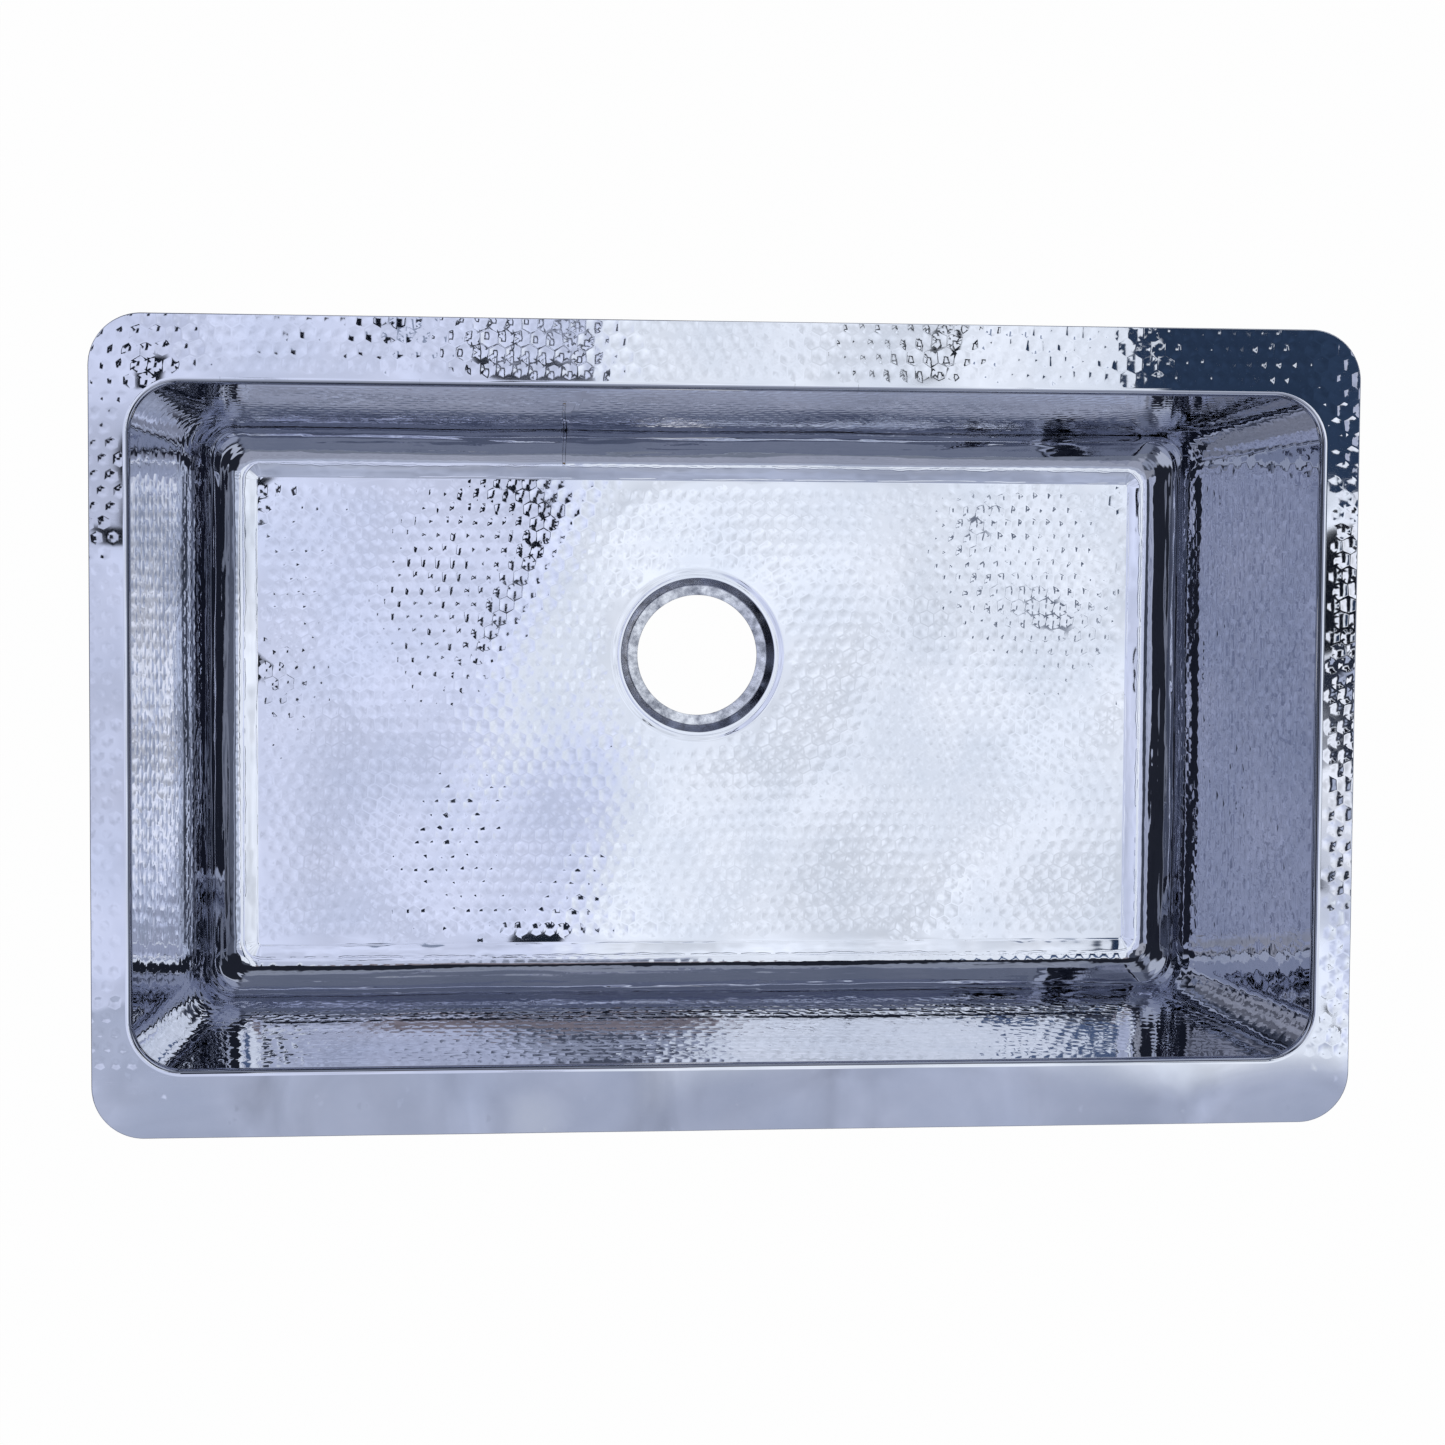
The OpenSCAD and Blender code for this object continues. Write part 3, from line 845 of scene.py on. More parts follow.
def floor_strength(x, y):
    """1 where a dent's middle lies on the hammered field and clear of the drain's rim."""
    p = np.stack([x.ravel(), y.ravel()], 1)
    room = (PANEL_HALF - np.abs(p)).min(1) > 1.5
    clear = np.linalg.norm(p - DRAIN, axis=1) > HOLE_R + 3.5
    return (room & clear).astype(float).reshape(x.shape)


def floor_trim(p):
    p, outside = push_inside(p, PANEL_HALF, PANEL_CORNER)
    away = p - DRAIN
    far = np.maximum(np.linalg.norm(away, axis=1), 1e-9)
    hidden = far < HOLE_R
    return np.where(hidden[:, None], DRAIN + away * (HOLE_R / far)[:, None], p), outside | hidden


def floor_height(a, b):
    """The fall grows evenly along each line from the edge to the drain, where the distance to
    the edge is a smooth blend of the distances to the sides."""
    dx, dy = a - DRAIN[0], b - DRAIN[1]
    far = np.hypot(dx, dy)
    to_end = np.where(dy > 0, PANEL_HALF[1] - DRAIN[1], PANEL_HALF[1] + DRAIN[1])
    blend = ((np.abs(dx) / PANEL_HALF[0]) ** 8 + (np.abs(dy) / to_end) ** 8) ** (1 / 8)
    edge = far / np.maximum(blend, 1e-9)
    share = np.clip((edge - far) / np.maximum(edge - HOLE_R, 1e-9), 0, 1)
    return FLOOR_Z - BAND_DROP - SLOW_FALL * share


def floor_bend(a, b):
    """Place and tangents of the floor, the slopes from heights 1 mm away."""
    z = floor_height(a, b)
    slope_a = (floor_height(a + 1, b) - floor_height(a - 1, b)) / 2
    slope_b = (floor_height(a, b + 1) - floor_height(a, b - 1)) / 2
    one, nil = np.ones_like(a), np.zeros_like(a)
    return np.stack([a, b, z], 1), np.stack([one, nil, slope_a], 1), np.stack([nil, one, slope_b], 1)


def floor_warp(a, b):
    """Long waves that die out at the seams."""
    height, slope_a, slope_b = sheet_waves(a, b, 9)
    edge = np.minimum(PANEL_HALF[0] - np.abs(a), PANEL_HALF[1] - np.abs(b))
    ring = np.hypot(a - DRAIN[0], b - DRAIN[1]) - HOLE_R
    calm = np.clip(np.minimum(edge, ring) / 25.0, 0, 1)
    return height * calm, slope_a * calm, slope_b * calm


pattern = dent_rows(-FLOOR_HALF, FLOOR_HALF, 31, floor_strength)
cells = dent_cells(*pattern)
depth, slope = dent_depth(cells[0], *pattern)
shell = steel_shell(cells, depth, slope, floor_trim, floor_bend, floor_warp)
make_piece("floor_sheet", *shell[:3], [POLISHED, MILL], ~shell[3], "floor_panel", "hammered_steel")

# %% Paths round a rounded rectangle
def outline_path(half, corner, step):
    """Points and outward directions along a rounded rectangle, anticlockwise, one every step."""
    straight = 2 * (half - corner)
    arc = math.pi / 2 * corner
    lengths = [straight[1], arc, straight[0], arc] * 2
    total = sum(lengths)
    s = np.linspace(0, total, int(total / step), endpoint=False)
    knots = np.concatenate([[0], np.cumsum(lengths)])
    turn = np.radians(np.interp(s, knots, [0, 0, 90, 90, 180, 180, 270, 270, 360]))
    cx = np.interp(s, knots, [1, 1, 1, -1, -1, -1, -1, 1, 1]) * (half[0] - corner)
    cy = np.interp(s, knots, [-1, 1, 1, 1, 1, -1, -1, -1, -1]) * (half[1] - corner)
    out = np.stack([np.cos(turn), np.sin(turn)], 1)
    return np.stack([cx, cy], 1) + corner * out, out, s, total


def wander(s, total, seed, size):
    """A slow sideways wander of the worker's hand that closes on itself after total."""
    rng = np.random.default_rng(seed)
    out = np.zeros_like(s)
    for k in (3, 7, 11, 17, 29, 41, 67, 101, 157):
        out += rng.normal(0, size / 2.2) * np.sin(2 * math.pi * k * s / total + rng.uniform(0, 6.28))
    return out


# %% Smooth band round the floor
BAND_SLOPE, BAND_EASE = 0.165, 0.0015
RIDGE_H, RIDGE_SPREAD, RIDGE_W = 0.03, 0.025, 0.32
centre, out, s, total = outline_path(FLOOR_HALF, FLOOR_CORNER, 1.5)
w = np.concatenate([np.linspace(0, BAND - 2.2, 9), np.linspace(BAND - 1.9, BAND, 11)])[None, :]
ridge_at = (BAND - 1.0 + np.clip(wander(s, total, 53, 0.3), -0.5, 0.5))[:, None]
tall = RIDGE_H + RIDGE_SPREAD * np.clip(wander(s, total, 59, 1.0), -1, 1)[:, None]
ridge = tall * np.exp(-(((w - ridge_at) / RIDGE_W) ** 2))
uneven = wander(s, total, 61, 0.010)[:, None] * np.sin(math.pi * w / BAND)
low = (BAND_SLOPE * w - BAND_EASE * w**2) + uneven
top = np.stack([
    centre[:, 0:1] - out[:, 0:1] * w,
    centre[:, 1:2] - out[:, 1:2] * w,
    FLOOR_Z - low + ridge,
], 2)
shell = slab(top, closed=True)
make_piece("floor_edge_band", *shell[:3], [POLISHED, MILL], ~shell[3], "floor_panel", "hammered_steel")

# %% Collar round the drain
turn = np.linspace(0, 2 * math.pi, 240, endpoint=False)[:, None]
step = np.linspace(1, 0, 9)[None, :]
reach = RING_R + COLLAR * step + 0.15 * np.sin(5 * turn + 1.0) * np.sin(math.pi * step)
top = np.stack([
    DRAIN[0] + reach * np.cos(turn),
    DRAIN[1] + reach * np.sin(turn),
    LOW_FLOOR_Z + COLLAR_DROP * step**2 * (3 - 2 * step) + 0 * turn,
], 2)
shell = slab(top, closed=True)
make_piece("floor_drain_collar", *shell[:3], [POLISHED, MILL], ~shell[3], "floor_panel", "hammered_steel")

# %% [markdown]
# ## The drain ring
# The ring was pressed from its own small blank: a narrow rim, a sloping step and a flat seat for
# the strainer. Its profile is a closed line that is carried round the hole, with the bends
# rounded as a press rounds them.

# %% Profiles carried round a path
def rounded_line(corners, radii, steps=5):
    """Closed line through corners, each rounded by an arc of its radius: points on a curve that
    starts and ends a tangent's length from the corner and bends evenly between them."""
    corners = np.array(corners, float)
    line = []
    for i, radius in enumerate(radii):
        p, before, after = corners[i], corners[i - 1], corners[(i + 1) % len(corners)]
        u, v = (before - p) / np.linalg.norm(before - p), (after - p) / np.linalg.norm(after - p)
        angle = math.acos(np.clip(u @ v, -1, 1))
        room = min(np.linalg.norm(before - p), np.linalg.norm(after - p))
        reach = min(radius / math.tan(angle / 2), 0.48 * room)
        w = np.linspace(0, 1, steps)[:, None]
        line.append((p + u * reach) * (1 - w) ** 2 + 2 * p * w * (1 - w) + (p + v * reach) * w**2)
    return np.concatenate(line)


def carried(sections):
    """Closed tube through sections, an array of lines by points by 3. Its triangles are turned
    over where they would face inwards."""
    m, n, _ = sections.shape
    points = sections.reshape(-1, 3)
    triangles = tube_triangles(m, n)
    middle = sections.mean(1, keepdims=True)
    along = np.roll(sections, -1, 0) - sections
    around = np.roll(sections, -1, 1) - sections
    outward = (np.cross(around, along) * (sections - middle)).sum()
    return points, triangles if outward > 0 else triangles[:, ::-1]


# %% Drain ring
RING_STEPS = 180
SEAT_SWING = -0.6
lower = SHEET * math.tan(math.atan2(RECESS_H, RECESS_R - SEAT_R) / 2)
profile = rounded_line(
    [
        (RING_R, 0), (RECESS_R, 0), (SEAT_R, -RECESS_H), (DRAIN_R, -RECESS_H),
        (DRAIN_R, -RECESS_H - SHEET), (SEAT_R + lower, -RECESS_H - SHEET),
        (RECESS_R + lower, -SHEET), (RING_R, -SHEET),
    ],
    [0.04, 1.0, 1.6, 0.35, 0.2, 2.5, 1.6, 0.1],
)
turn = np.linspace(0, 2 * math.pi, RING_STEPS, endpoint=False)[:, None]
radius, level = profile[None, :, 0], profile[None, :, 1]
dish = 0.10 * np.sin(3 * turn + 0.7) + 0.07 * np.sin(7 * turn + 2.0)
on_seat = (radius < SEAT_R) & (level > -RECESS_H - SHEET / 2)
ring = np.stack([
    DRAIN[0] + (radius + 0 * turn) * np.cos(turn),
    DRAIN[1] + (radius + 0 * turn) * np.sin(turn),
    LOW_FLOOR_Z + level + dish * on_seat * SEAT_SWING,
], 2)
points, triangles = carried(ring)
middle = points[triangles].mean(1)
far = np.hypot(middle[:, 0] - DRAIN[0], middle[:, 1] - DRAIN[1])
on_rim = (far > RECESS_R) & (middle[:, 2] > LOW_FLOOR_Z - 0.3)
finishes = [PRESSED, POLISHED]
make_piece("drain_ring_pressed", points, triangles, None, finishes, on_rim, "drain_ring", "drain_steel")

# %% [markdown]
# ## The welds
# Weld metal that was laid down bead after bead has ripples like a row of fallen coins. Each
# weld is a closed profile carried along its seam, and the ripples swell the profile a little
# every 2.4 mm. Inside the bowl the floor's weld and the wall's weld were ground nearly flush and
# polished, and only a thin wavy line is left of them.

# %% Ripples
RIPPLE = 2.4


def ripple(s):
    """Swelling of a bead at distance s: it rises quickly and falls slowly in every ripple."""
    share = (s / RIPPLE) % 1.0
    return 1 - 0.22 * np.abs(share - 0.3) / np.where(share < 0.3, 0.3, 0.7)


def bead_piece(name, centre, out, offset, level, node, finishes, finish_of=None):
    """A bead along a path: offset and level are arrays of path by section, the distance out
    from the path and the height."""
    sections = np.stack([
        centre[:, 0:1] + out[:, 0:1] * offset,
        centre[:, 1:2] + out[:, 1:2] * offset,
        level + 0 * offset,
    ], 2)
    points, triangles = carried(sections)
    which = np.zeros(len(triangles))
    if finish_of is not None:
        which = finish_of(points[triangles].mean(1))
    return make_piece(name, points, triangles, None, finishes, which, node, "weld_steel")


# %% Weld round the floor
centre, out, s, total = outline_path(FLOOR_HALF, FLOOR_CORNER, 0.8)
section_out = np.array([-0.9, -0.45, 0.0, 0.4, 0.8, 1.2, 3.0, 2.2, 1.1, 0.0, -1.1, -2.2, -3.0, -1.2])
section_up = np.array([
    -0.10, -0.03, 0.02, 0.02, 0.02, -1.2, -SHEET, -2.15, -2.6, -2.7, -2.6, -2.15, -SHEET, -1.2,
])
inside = section_up > -0.5
sway = wander(s, total, 41, 0.45)[:, None] * inside + wander(s, total, 42, 0.25)[:, None] * ~inside
swell = np.where(inside, 1 + 0.5 * wander(s, total, 43, 0.5)[:, None], ripple(s)[:, None])
swell = np.clip(swell, 0.3, 1.3)
grown = np.where(section_up < -SHEET, swell, 1)
level = np.where(inside, section_up, -SHEET + (section_up + SHEET) * grown)
level = FLOOR_Z + np.maximum(level, -SHEET - BEAD_H)
offset = section_out * np.where(inside, swell**0.5, 1.0) + sway


def left_rough(middle):
    """1 for the faces below the floor's sheet, where the weld wasn't ground and polished."""
    return (middle[:, 2] < FLOOR_Z - 0.6).astype(float)


finishes = [POLISHED, WELD]
bead_piece("weld_round_floor", centre, out, offset, level, "weld_floor_seam", finishes, left_rough)

# %% Weld round the drain ring
turn = np.linspace(0, 2 * math.pi, 470, endpoint=False)
out = np.stack([np.cos(turn), np.sin(turn)], 1)
s = turn * RING_R
section_out = np.array([-2.0, -1.3, 0.0, 1.3, 2.0, 1.2, 0.0, -1.2])
section_up = np.array([0.0, -0.85, -1.2, -0.85, 0.0, 0.5, 0.6, 0.5])
level = LOW_FLOOR_Z - SHEET + section_up * np.where(section_up < 0, ripple(s)[:, None], 1.0)
centre = DRAIN + RING_R * out
offset = section_out + 0 * s[:, None]
bead_piece("weld_round_drain", centre, out, offset, level, "weld_drain", [WELD])

# %% Weld under the lip
rim_half, rim_corner = OPEN_HALF + SHEET, OPEN_CORNER + SHEET
centre, out, s, total = outline_path(rim_half, rim_corner, 0.9)
slant = np.tan(LEAN[0]) * out[:, 0:1] ** 2 + np.tan(LEAN[1]) * out[:, 1:2] ** 2
section_up = np.array([0.0, 0.0, -1.3, -3.0, -4.7, -6.0, -4.5, -1.5])
section_out = np.array([-0.6, 0.9, 1.25, 1.3, 0.9, -0.1, -0.5, -0.7])
body = ripple(s)[:, None]
offset = section_out * np.where(section_out > 0, body, 1.0) + slant * section_up
bead_piece("weld_under_lip", centre, out, offset, LIP_Z + section_up + 0 * body, "weld_rim", [WELD])

# %% Weld in the back wall
t = np.arange(0.0, WALL_LENGTH - 2.0, 0.6)
at_seam = np.full_like(t, STRIP_LENGTH)
place, along, down = wall_bend(at_seam, t)
place[:, 0] = SEAM_X
into_bowl = unit(np.cross(along, down))
beaded = np.clip((t - BEAD_W) / 2.0, 0, 1) * np.clip((WALL_LENGTH - 8 - t) / 4.0, 0, 1)
section_x = np.array([-1.6, -1.56, 0.0, 1.56, 1.6, 1.2, 3.0, 1.8, 0.0, -1.8, -3.0, -1.2])
section_n = np.array([-0.03, 0.0, 0.006, 0.0, -0.03, -1.2, -1.5, -2.4, -2.7, -2.4, -1.5, -1.2])
outer = section_n < -1.3
width = np.where(outer, 0.45 + 0.55 * beaded[:, None], 1.0)
sway = wander(t, WALL_LENGTH, 47, 0.25)[:, None]
x_of = SEAM_X + section_x * width + sway
rise = np.where(outer, -1.4 + (section_n + 1.4) * beaded[:, None] * ripple(t)[:, None], section_n)
sections = place[:, None, :] + rise[:, :, None] * into_bowl[:, None, :]
sections[:, :, 0] = x_of
points, triangles = capped(sections)
volume = (points[triangles[:, 0]] * np.cross(points[triangles[:, 1]], points[triangles[:, 2]])).sum()
triangles = triangles if volume > 0 else triangles[:, ::-1]
which = outer[triangles % len(section_x)].any(1)
top = section_n > -0.5
facing = np.where(top, 1.0, (section_n + 1.4) / 1.4)[None, :, None] * into_bowl[:, None, :]
sideways = np.where(top, 0.0, section_x / 3.0)[None, :, None] * np.array([1.0, 0.0, 0.0])
normals = unit(np.concatenate([(facing + sideways).reshape(-1, 3), -down[[0]], down[[-1]]]))
finishes = [POLISHED, WELD]
make_piece("weld_in_back_wall", points, triangles, normals, finishes, which, "weld_wall_seam", "weld_steel")

# %% [markdown]
# ## Floor of the studio
# The sink stands on plain white paper. Light Path says who looks at the paper: the camera and
# the mirrors see it almost at an even strength of 1, which is white, and all other light finds
# a matt floor.

# %% Studio floor
FLOOR_REACH = 6.0
EVEN_SHARE = 0.985
floor_level = CAD_BOX[0][2]
signs = ((-1, -1), (1, -1), (1, 1), (-1, 1))
ground = bpy.data.meshes.new("studio_floor")
ground.from_pydata([(x * FLOOR_REACH, y * FLOOR_REACH, floor_level) for x, y in signs], [], [(0, 1, 2, 3)])
ground_object = bpy.data.objects.new("studio_floor", ground)
bpy.context.scene.collection.objects.link(ground_object)
PAPER = bpy.data.materials.new("white_studio_paper")
PAPER.use_nodes = True
tree = PAPER.node_tree
tree.nodes.clear()
rays = add_node(tree, "ShaderNodeLightPath")
either = {0: rays.outputs["Is Camera Ray"], 1: rays.outputs["Is Glossy Ray"]}
seen = add_node(tree, "ShaderNodeMath", {"operation": "MAXIMUM"}, either)
settings = {"operation": "MULTIPLY", 1: EVEN_SHARE}
share = add_node(tree, "ShaderNodeMath", settings, {0: seen.outputs[0]})
matt = add_node(tree, "ShaderNodeBsdfDiffuse", {"Color": light_of("#F4F4F6")})
bright = add_node(tree, "ShaderNodeEmission", {"Color": (1, 1, 1, 1), "Strength": 1.0})
parts = {0: share.outputs[0], 1: matt.outputs[0], 2: bright.outputs[0]}
mix = add_node(tree, "ShaderNodeMixShader", {}, parts)
add_node(tree, "ShaderNodeOutputMaterial", {}, {0: mix.outputs[0]})
ground.materials.append(PAPER)
print("floor at", round(floor_level, 4))

# %% [markdown]
# ## Sky of the studio
# A mirror needs something to reflect, so the sky of the studio isn't one even white. A
# direction in it is written as the two numbers u = x / z and v = y / z, which is where it would
# meet a ceiling one metre up. Two fine noises shift that place a little, so that every edge in
# the sky is slightly frayed, as it looks in steel that was polished by hand.

# %% Place on the ceiling
world = bpy.data.worlds.new("soft_ceiling")
bpy.context.scene.world = world
world.use_nodes = True
tree = world.node_tree
tree.nodes.clear()
direction = add_node(tree, "ShaderNodeTexCoord").outputs["Generated"]
axis = add_node(tree, "ShaderNodeSeparateXYZ", {}, {0: direction})
settings = {"operation": "MAXIMUM", 1: 0.02}
height = add_node(tree, "ShaderNodeMath", settings, {0: axis.outputs[2]})
ratio = {0: direction, 1: height.outputs[0]}
ceiling = add_node(tree, "ShaderNodeVectorMath", {"operation": "DIVIDE"}, ratio)
settings = {"operation": "MULTIPLY", 1: (1, 1, 0)}
ceiling = add_node(tree, "ShaderNodeVectorMath", settings, {0: ceiling.outputs[0]})
for scale, size in ((13.0, 0.026), (48.0, 0.008)):
    settings = {"Scale": scale, "Detail": 2.0}
    noise = add_node(tree, "ShaderNodeTexNoise", settings, {"Vector": ceiling.outputs[0]})
    settings = {"operation": "MULTIPLY_ADD", 1: (size, size, 0), 2: (-size / 2, -size / 2, 0)}
    noise = add_node(tree, "ShaderNodeVectorMath", settings, {0: noise.outputs["Color"]})
    both = {0: ceiling.outputs[0], 1: noise.outputs[0]}
    ceiling = add_node(tree, "ShaderNodeVectorMath", {"operation": "ADD"}, both)
print("sky:", len(tree.nodes), "nodes give a place on the ceiling")

# %% Base of the sky, by height
SKY_RIM = [
    (0.00, "#4A4E58"), (0.07, "#3A3E48"), (0.10, "#2E323D"), (0.28, "#363B46"),
    (0.32, "#767B89"), (0.38, "#767B89"), (0.42, "#575C6A"), (0.60, "#575C6A"),
    (0.63, "#8E95A7"), (0.68, "#8E95A7"), (0.72, "#4A4F5B"), (1.00, "#3A3F4B"),
]
base = add_node(tree, "ShaderNodeValToRGB", {}, {"Fac": axis.outputs[2]})
paint_ramp(base.color_ramp, SKY_RIM)
print("sky:", len(SKY_RIM), "colours from the horizon up")


# %% Soft boxes
def box_cover(low, high, soft):
    """1 inside a box of the sky, from low to high in u and v, and 0 from the distance soft. The
    distance is the length of max(abs(place - middle) - half the size, 0)."""
    middle = [(a + b) / 2 for a, b in zip(low, high)] + [0.0]
    half_size = [(b - a) / 2 for a, b in zip(low, high)] + [0.0]
    steps = [
        {"operation": "SUBTRACT", 1: middle}, {"operation": "ABSOLUTE"},
        {"operation": "SUBTRACT", 1: half_size}, {"operation": "MAXIMUM", 1: (0, 0, 0)},
        {"operation": "LENGTH"},
    ]
    near = ceiling
    for settings in steps:
        near = add_node(tree, "ShaderNodeVectorMath", settings, {0: near.outputs[0]})
    settings = {"interpolation_type": "SMOOTHSTEP", "From Min": soft, "From Max": 0.0}
    return add_node(tree, "ShaderNodeMapRange", settings, {"Value": near.outputs["Value"]}).outputs[0]


def sky_patch(sky, low, high, soft, colour):
    """Lays a box of another colour over the sky, with edges that fade over the distance soft."""
    cover = box_cover(low, high, soft)
    settings = {"data_type": "RGBA", 7: light_of(colour)}
    return add_node(tree, "ShaderNodeMix", settings, {0: cover, 6: sky}).outputs[2]


# %% [markdown]
# ### What stands in the sky
# Each patch is a box with its low and high corner in u and v, the width of its soft edge and
# its colour. A later patch lies over the earlier ones. Every part of the bowl mirrors its own
# part of the sky, so a patch is placed by the part of the steel that sees it.

# %% Patches of the sky
NAVY, INK, SHADE = "#2C3C53", "#12161E", "#22252E"
PALE, WHITE, CLOUD = "#E0E6F9", "#F5FAFF", "#8E98AC"
PATCHES = [
    # low sky: dark at the left and the back, seen by the right and the front cove
    ((-2.60, -1.70), (-0.96, 1.70), 0.08, SHADE),
    ((-0.60, 0.76), (0.90, 1.50), 0.08, SHADE),
    # low sky: pale in the four diagonals, for whoever looks from the side
    ((1.0, 1.0), (30.0, 30.0), 0.20, "#B4BAC8"),
    ((-30.0, 1.0), (-1.0, 30.0), 0.20, "#B4BAC8"),
    ((1.0, -30.0), (30.0, -1.0), 0.20, "#B4BAC8"),
    ((-30.0, -30.0), (-1.0, -1.0), 0.20, "#B4BAC8"),
    # low sky: grey at the back and the front, seen by the cove
    ((-0.35, 1.32), (0.60, 2.90), 0.15, "#8A909E"),
    ((-0.35, -2.70), (0.60, -1.30), 0.15, "#7C828F"),
    # low sky: dark at the right, seen by the left cove
    ((0.64, -1.30), (2.60, -0.30), 0.10, SHADE),
    ((0.72, 0.32), (2.60, 1.60), 0.08, SHADE),
    # seen by the rounded corners at the right
    ((-0.86, 0.12), (-0.28, 0.60), 0.05, "#A6A8B0"),
    ((-0.60, 0.40), (-0.50, 0.66), 0.03, "#74767E"),
    ((-0.78, 0.26), (-0.73, 0.44), 0.02, "#6A6C74"),
    ((-0.82, -0.64), (-0.28, -0.26), 0.05, "#8F929C"),
    # seen by the right wall: a pale screen with thin lines
    ((-1.04, -0.36), (-0.68, 0.12), 0.03, "#ACB2C6"),
    ((-0.725, -0.36), (-0.717, 0.12), 0.006, "#868CA2"),
    ((-0.770, -0.36), (-0.762, 0.12), 0.006, "#8F95AA"),
    ((-0.845, -0.36), (-0.832, 0.12), 0.008, "#868CA2"),
    # seen by the rounded corners at the left
    ((0.28, 0.16), (0.62, 0.54), 0.04, WHITE),
    ((0.28, -0.44), (0.56, -0.18), 0.04, "#A6AAB8"),
    # seen by the back wall
    ((-0.30, -1.30), (0.60, -0.15), 0.12, "#A0A4B2"),
    ((-0.30, -0.40), (0.60, -0.16), 0.03, "#B2B8C7"),
    ((-0.30, -0.27), (0.60, -0.16), 0.010, "#B2B9CB"),
    # the pale ceiling, seen by the floor and the flange
    ((-0.30, -0.160), (0.78, 0.20), 0.010, PALE),
    ((0.085, -0.160), (0.37, 0.20), 0.035, WHITE),
    # seen by the left wall
    ((0.37, -0.20), (0.50, 0.05), 0.030, "#D8DEF0"),
    ((0.37, -0.09), (0.52, 0.05), 0.040, "#FAFCFF"),
    ((0.50, -0.20), (0.85, 0.07), 0.040, "#C8D0E0"),
    ((0.38, 0.045), (0.70, 0.17), 0.02, "#B0B6C8"),
    # seen by the front wall: screens, gaps and a blue post
    ((-0.052, 0.24), (-0.045, 0.70), 0.004, WHITE),
    ((-0.042, 0.20), (0.04, 0.72), 0.012, "#CAD0E2"),
    ((0.05, 0.20), (0.11, 0.72), 0.012, "#ACB2C2"),
    ((0.055, 0.36), (0.10, 0.385), 0.012, "#565B68"),
    ((0.07, 0.42), (0.12, 0.44), 0.012, "#4C515E"),
    ((0.045, 0.47), (0.09, 0.50), 0.012, "#565B68"),
    ((0.12, 0.20), (0.258, 0.72), 0.010, WHITE),
    ((0.264, 0.24), (0.284, 0.72), 0.003, "#5A6B88"),
    ((0.287, 0.22), (0.296, 0.72), 0.003, WHITE),
    ((0.00, 0.60), (0.13, 0.72), 0.03, "#8A8286"),
    # a navy screen, seen by the flange at the right end
    ((0.266, 0.055), (0.37, 0.24), 0.004, NAVY),
    ((0.283, 0.058), (0.292, 0.068), 0.002, WHITE),
    # the ceiling over the left flange, a little darker
    ((-0.30, -0.16), (-0.085, 0.20), 0.010, "#D2D8EC"),
    # navy screens and dark frames, seen by the right flange
    ((0.286, -0.045), (0.326, 0.06), 0.006, NAVY),
    ((0.326, 0.037), (0.37, 0.06), 0.004, NAVY),
    ((0.338, -0.038), (0.352, 0.013), 0.003, INK),
    ((0.328, -0.108), (0.360, -0.045), 0.005, "#262C38"),
    ((0.338, -0.098), (0.350, -0.055), 0.003, "#B4BCD0"),
    ((0.3415, -0.1505), (0.3465, -0.1485), 0.001, INK),
    # grey strips that show as faint rings on the back flange
    ((-0.004, 0.090), (0.001, 0.150), 0.002, CLOUD),
    ((0.012, 0.100), (0.016, 0.150), 0.002, CLOUD),
    ((0.232, 0.090), (0.237, 0.150), 0.002, CLOUD),
    ((0.248, 0.100), (0.252, 0.150), 0.002, CLOUD),
    # posts and frames that show as loops and dots in the dents
    ((0.040, 0.016), (0.053, 0.043), 0.002, INK),
    ((0.036, -0.020), (0.043, 0.014), 0.002, INK),
    ((0.0480, 0.078), (0.0645, 0.106), 0.0015, INK),
    ((0.0522, 0.083), (0.0603, 0.101), 0.0015, PALE),
    ((0.042, -0.124), (0.057, -0.112), 0.003, "#1C222C"),
    ((0.1895, 0.078), (0.2060, 0.106), 0.0015, INK),
    ((0.1937, 0.083), (0.2018, 0.101), 0.0015, WHITE),
    ((0.230, -0.013), (0.234, 0.003), 0.002, "#5A6272"),
    ((-0.016, 0.104), (-0.002, 0.135), 0.004, INK),
    ((-0.099, 0.037), (-0.088, 0.045), 0.004, INK),
    ((-0.110, 0.022), (-0.098, 0.032), 0.004, INK),
    ((-0.097, 0.066), (-0.089, 0.080), 0.003, INK),
    ((-0.048, 0.023), (-0.040, 0.032), 0.003, INK),
    ((-0.045, -0.036), (-0.039, -0.028), 0.002, INK),
]
sky = base.outputs[0]
for patch in PATCHES:
    sky = sky_patch(sky, *patch)
print("sky:", len(PATCHES), "patches")

# %% [markdown]
# ### Veil and rows
# Thin clouds make the whole sky a little uneven. The part that the left wall sees also has soft
# bands across it, which turn that wall's dents into rows of dashes.

# %% Veil and rows
ROWS = ((0.385, -0.20), (0.90, 0.03), 0.02)
spot = {"Vector": ceiling.outputs[0]}
clouds = add_node(tree, "ShaderNodeTexNoise", {"Scale": 24.0, "Detail": 4.0}, spot)
settings = {"From Min": 0.3, "From Max": 0.7, "To Min": 0.70, "To Max": 1.08}
veil = add_node(tree, "ShaderNodeMapRange", settings, {"Value": clouds.outputs[0]})
settings = {
    "wave_type": "BANDS", "bands_direction": "Y", "Scale": 4.6, "Distortion": 1.2,
    "Detail": 2.0, "Detail Scale": 1.3,
}
bands = add_node(tree, "ShaderNodeTexWave", settings, spot)
settings = {"From Min": 0.1, "From Max": 0.6, "To Min": -0.28, "To Max": 0.12}
bands = add_node(tree, "ShaderNodeMapRange", settings, {"Value": bands.outputs["Fac"]})
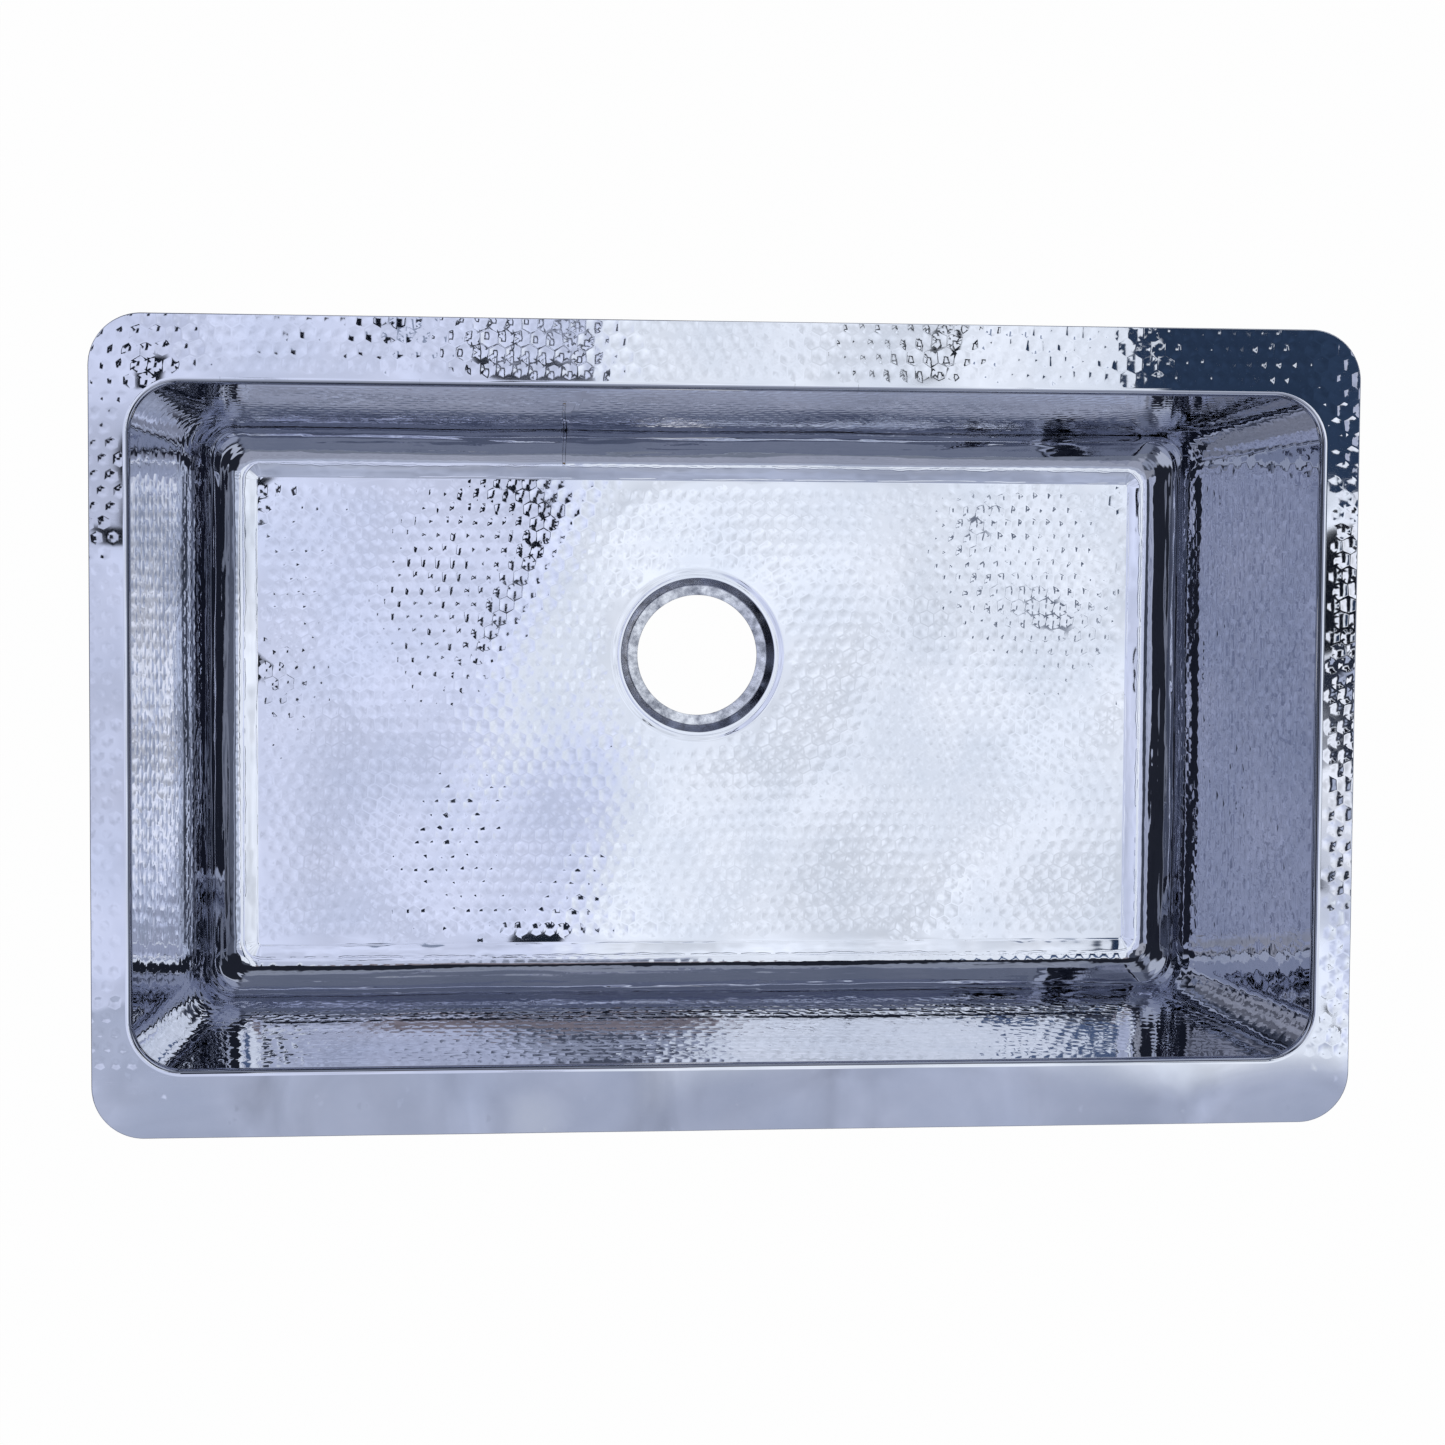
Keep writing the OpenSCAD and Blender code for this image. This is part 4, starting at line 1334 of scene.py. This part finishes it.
settings = {"operation": "MULTIPLY_ADD", 2: 1.0}
rows = add_node(tree, "ShaderNodeMath", settings, {0: box_cover(*ROWS), 1: bands.outputs[0]})
for change in (veil, rows):
    both = {0: sky, 1: change.outputs[0]}
    sky = add_node(tree, "ShaderNodeVectorMath", {"operation": "MULTIPLY"}, both).outputs[0]
print("sky: veil and rows laid over it")

# %% [markdown]
# ### Light of the sky
# Below the horizon the sky is white. The camera itself sees plain white all round, and only
# the steel and the paper see the sky with its patches.

# %% Light of the sky
SKY_STRENGTH = 1.3
rays = add_node(tree, "ShaderNodeLightPath").outputs["Is Camera Ray"]
settings = {"operation": "GREATER_THAN", 1: 0.0}
upper = add_node(tree, "ShaderNodeMath", settings, {0: axis.outputs[2]})
settings = {"data_type": "RGBA", 6: (1, 1, 1, 1)}
above = add_node(tree, "ShaderNodeMix", settings, {0: upper.outputs[0], 7: sky})
settings = {"To Min": SKY_STRENGTH, "To Max": 1.0}
level = add_node(tree, "ShaderNodeMapRange", settings, {"Value": rays})
settings = {"data_type": "RGBA", 7: (1, 1, 1, 1)}
shown = add_node(tree, "ShaderNodeMix", settings, {0: rays, 6: above.outputs[2]})
glow = add_node(tree, "ShaderNodeBackground", {}, {0: shown.outputs[2], 1: level.outputs[0]})
add_node(tree, "ShaderNodeOutputWorld", {}, {0: glow.outputs[0]})
print("sky:", len(tree.nodes), "nodes")

# %% [markdown]
# ## Camera
# The camera stands 1.8 m above the flange, left of the middle, and looks almost straight down.
# Its place, turn and lens were fitted to the outlines of the flange, the opening, the floor and
# the drain hole together.

# %% Camera
lens = bpy.data.cameras.new("camera")
lens.lens = 68.8
lens.sensor_width = 36.0
lens.shift_x = 0.040
camera = bpy.data.objects.new("camera", lens)
camera.location = (-0.226, 0.098, 1.800)
camera.rotation_euler = [math.radians(v) for v in (-3.0, -5.65, 0.31)]
bpy.context.scene.collection.objects.link(camera)
bpy.context.scene.camera = camera
bpy.context.scene.view_settings.view_transform = "Standard"
print("camera at", tuple(round(v, 3) for v in camera.location))
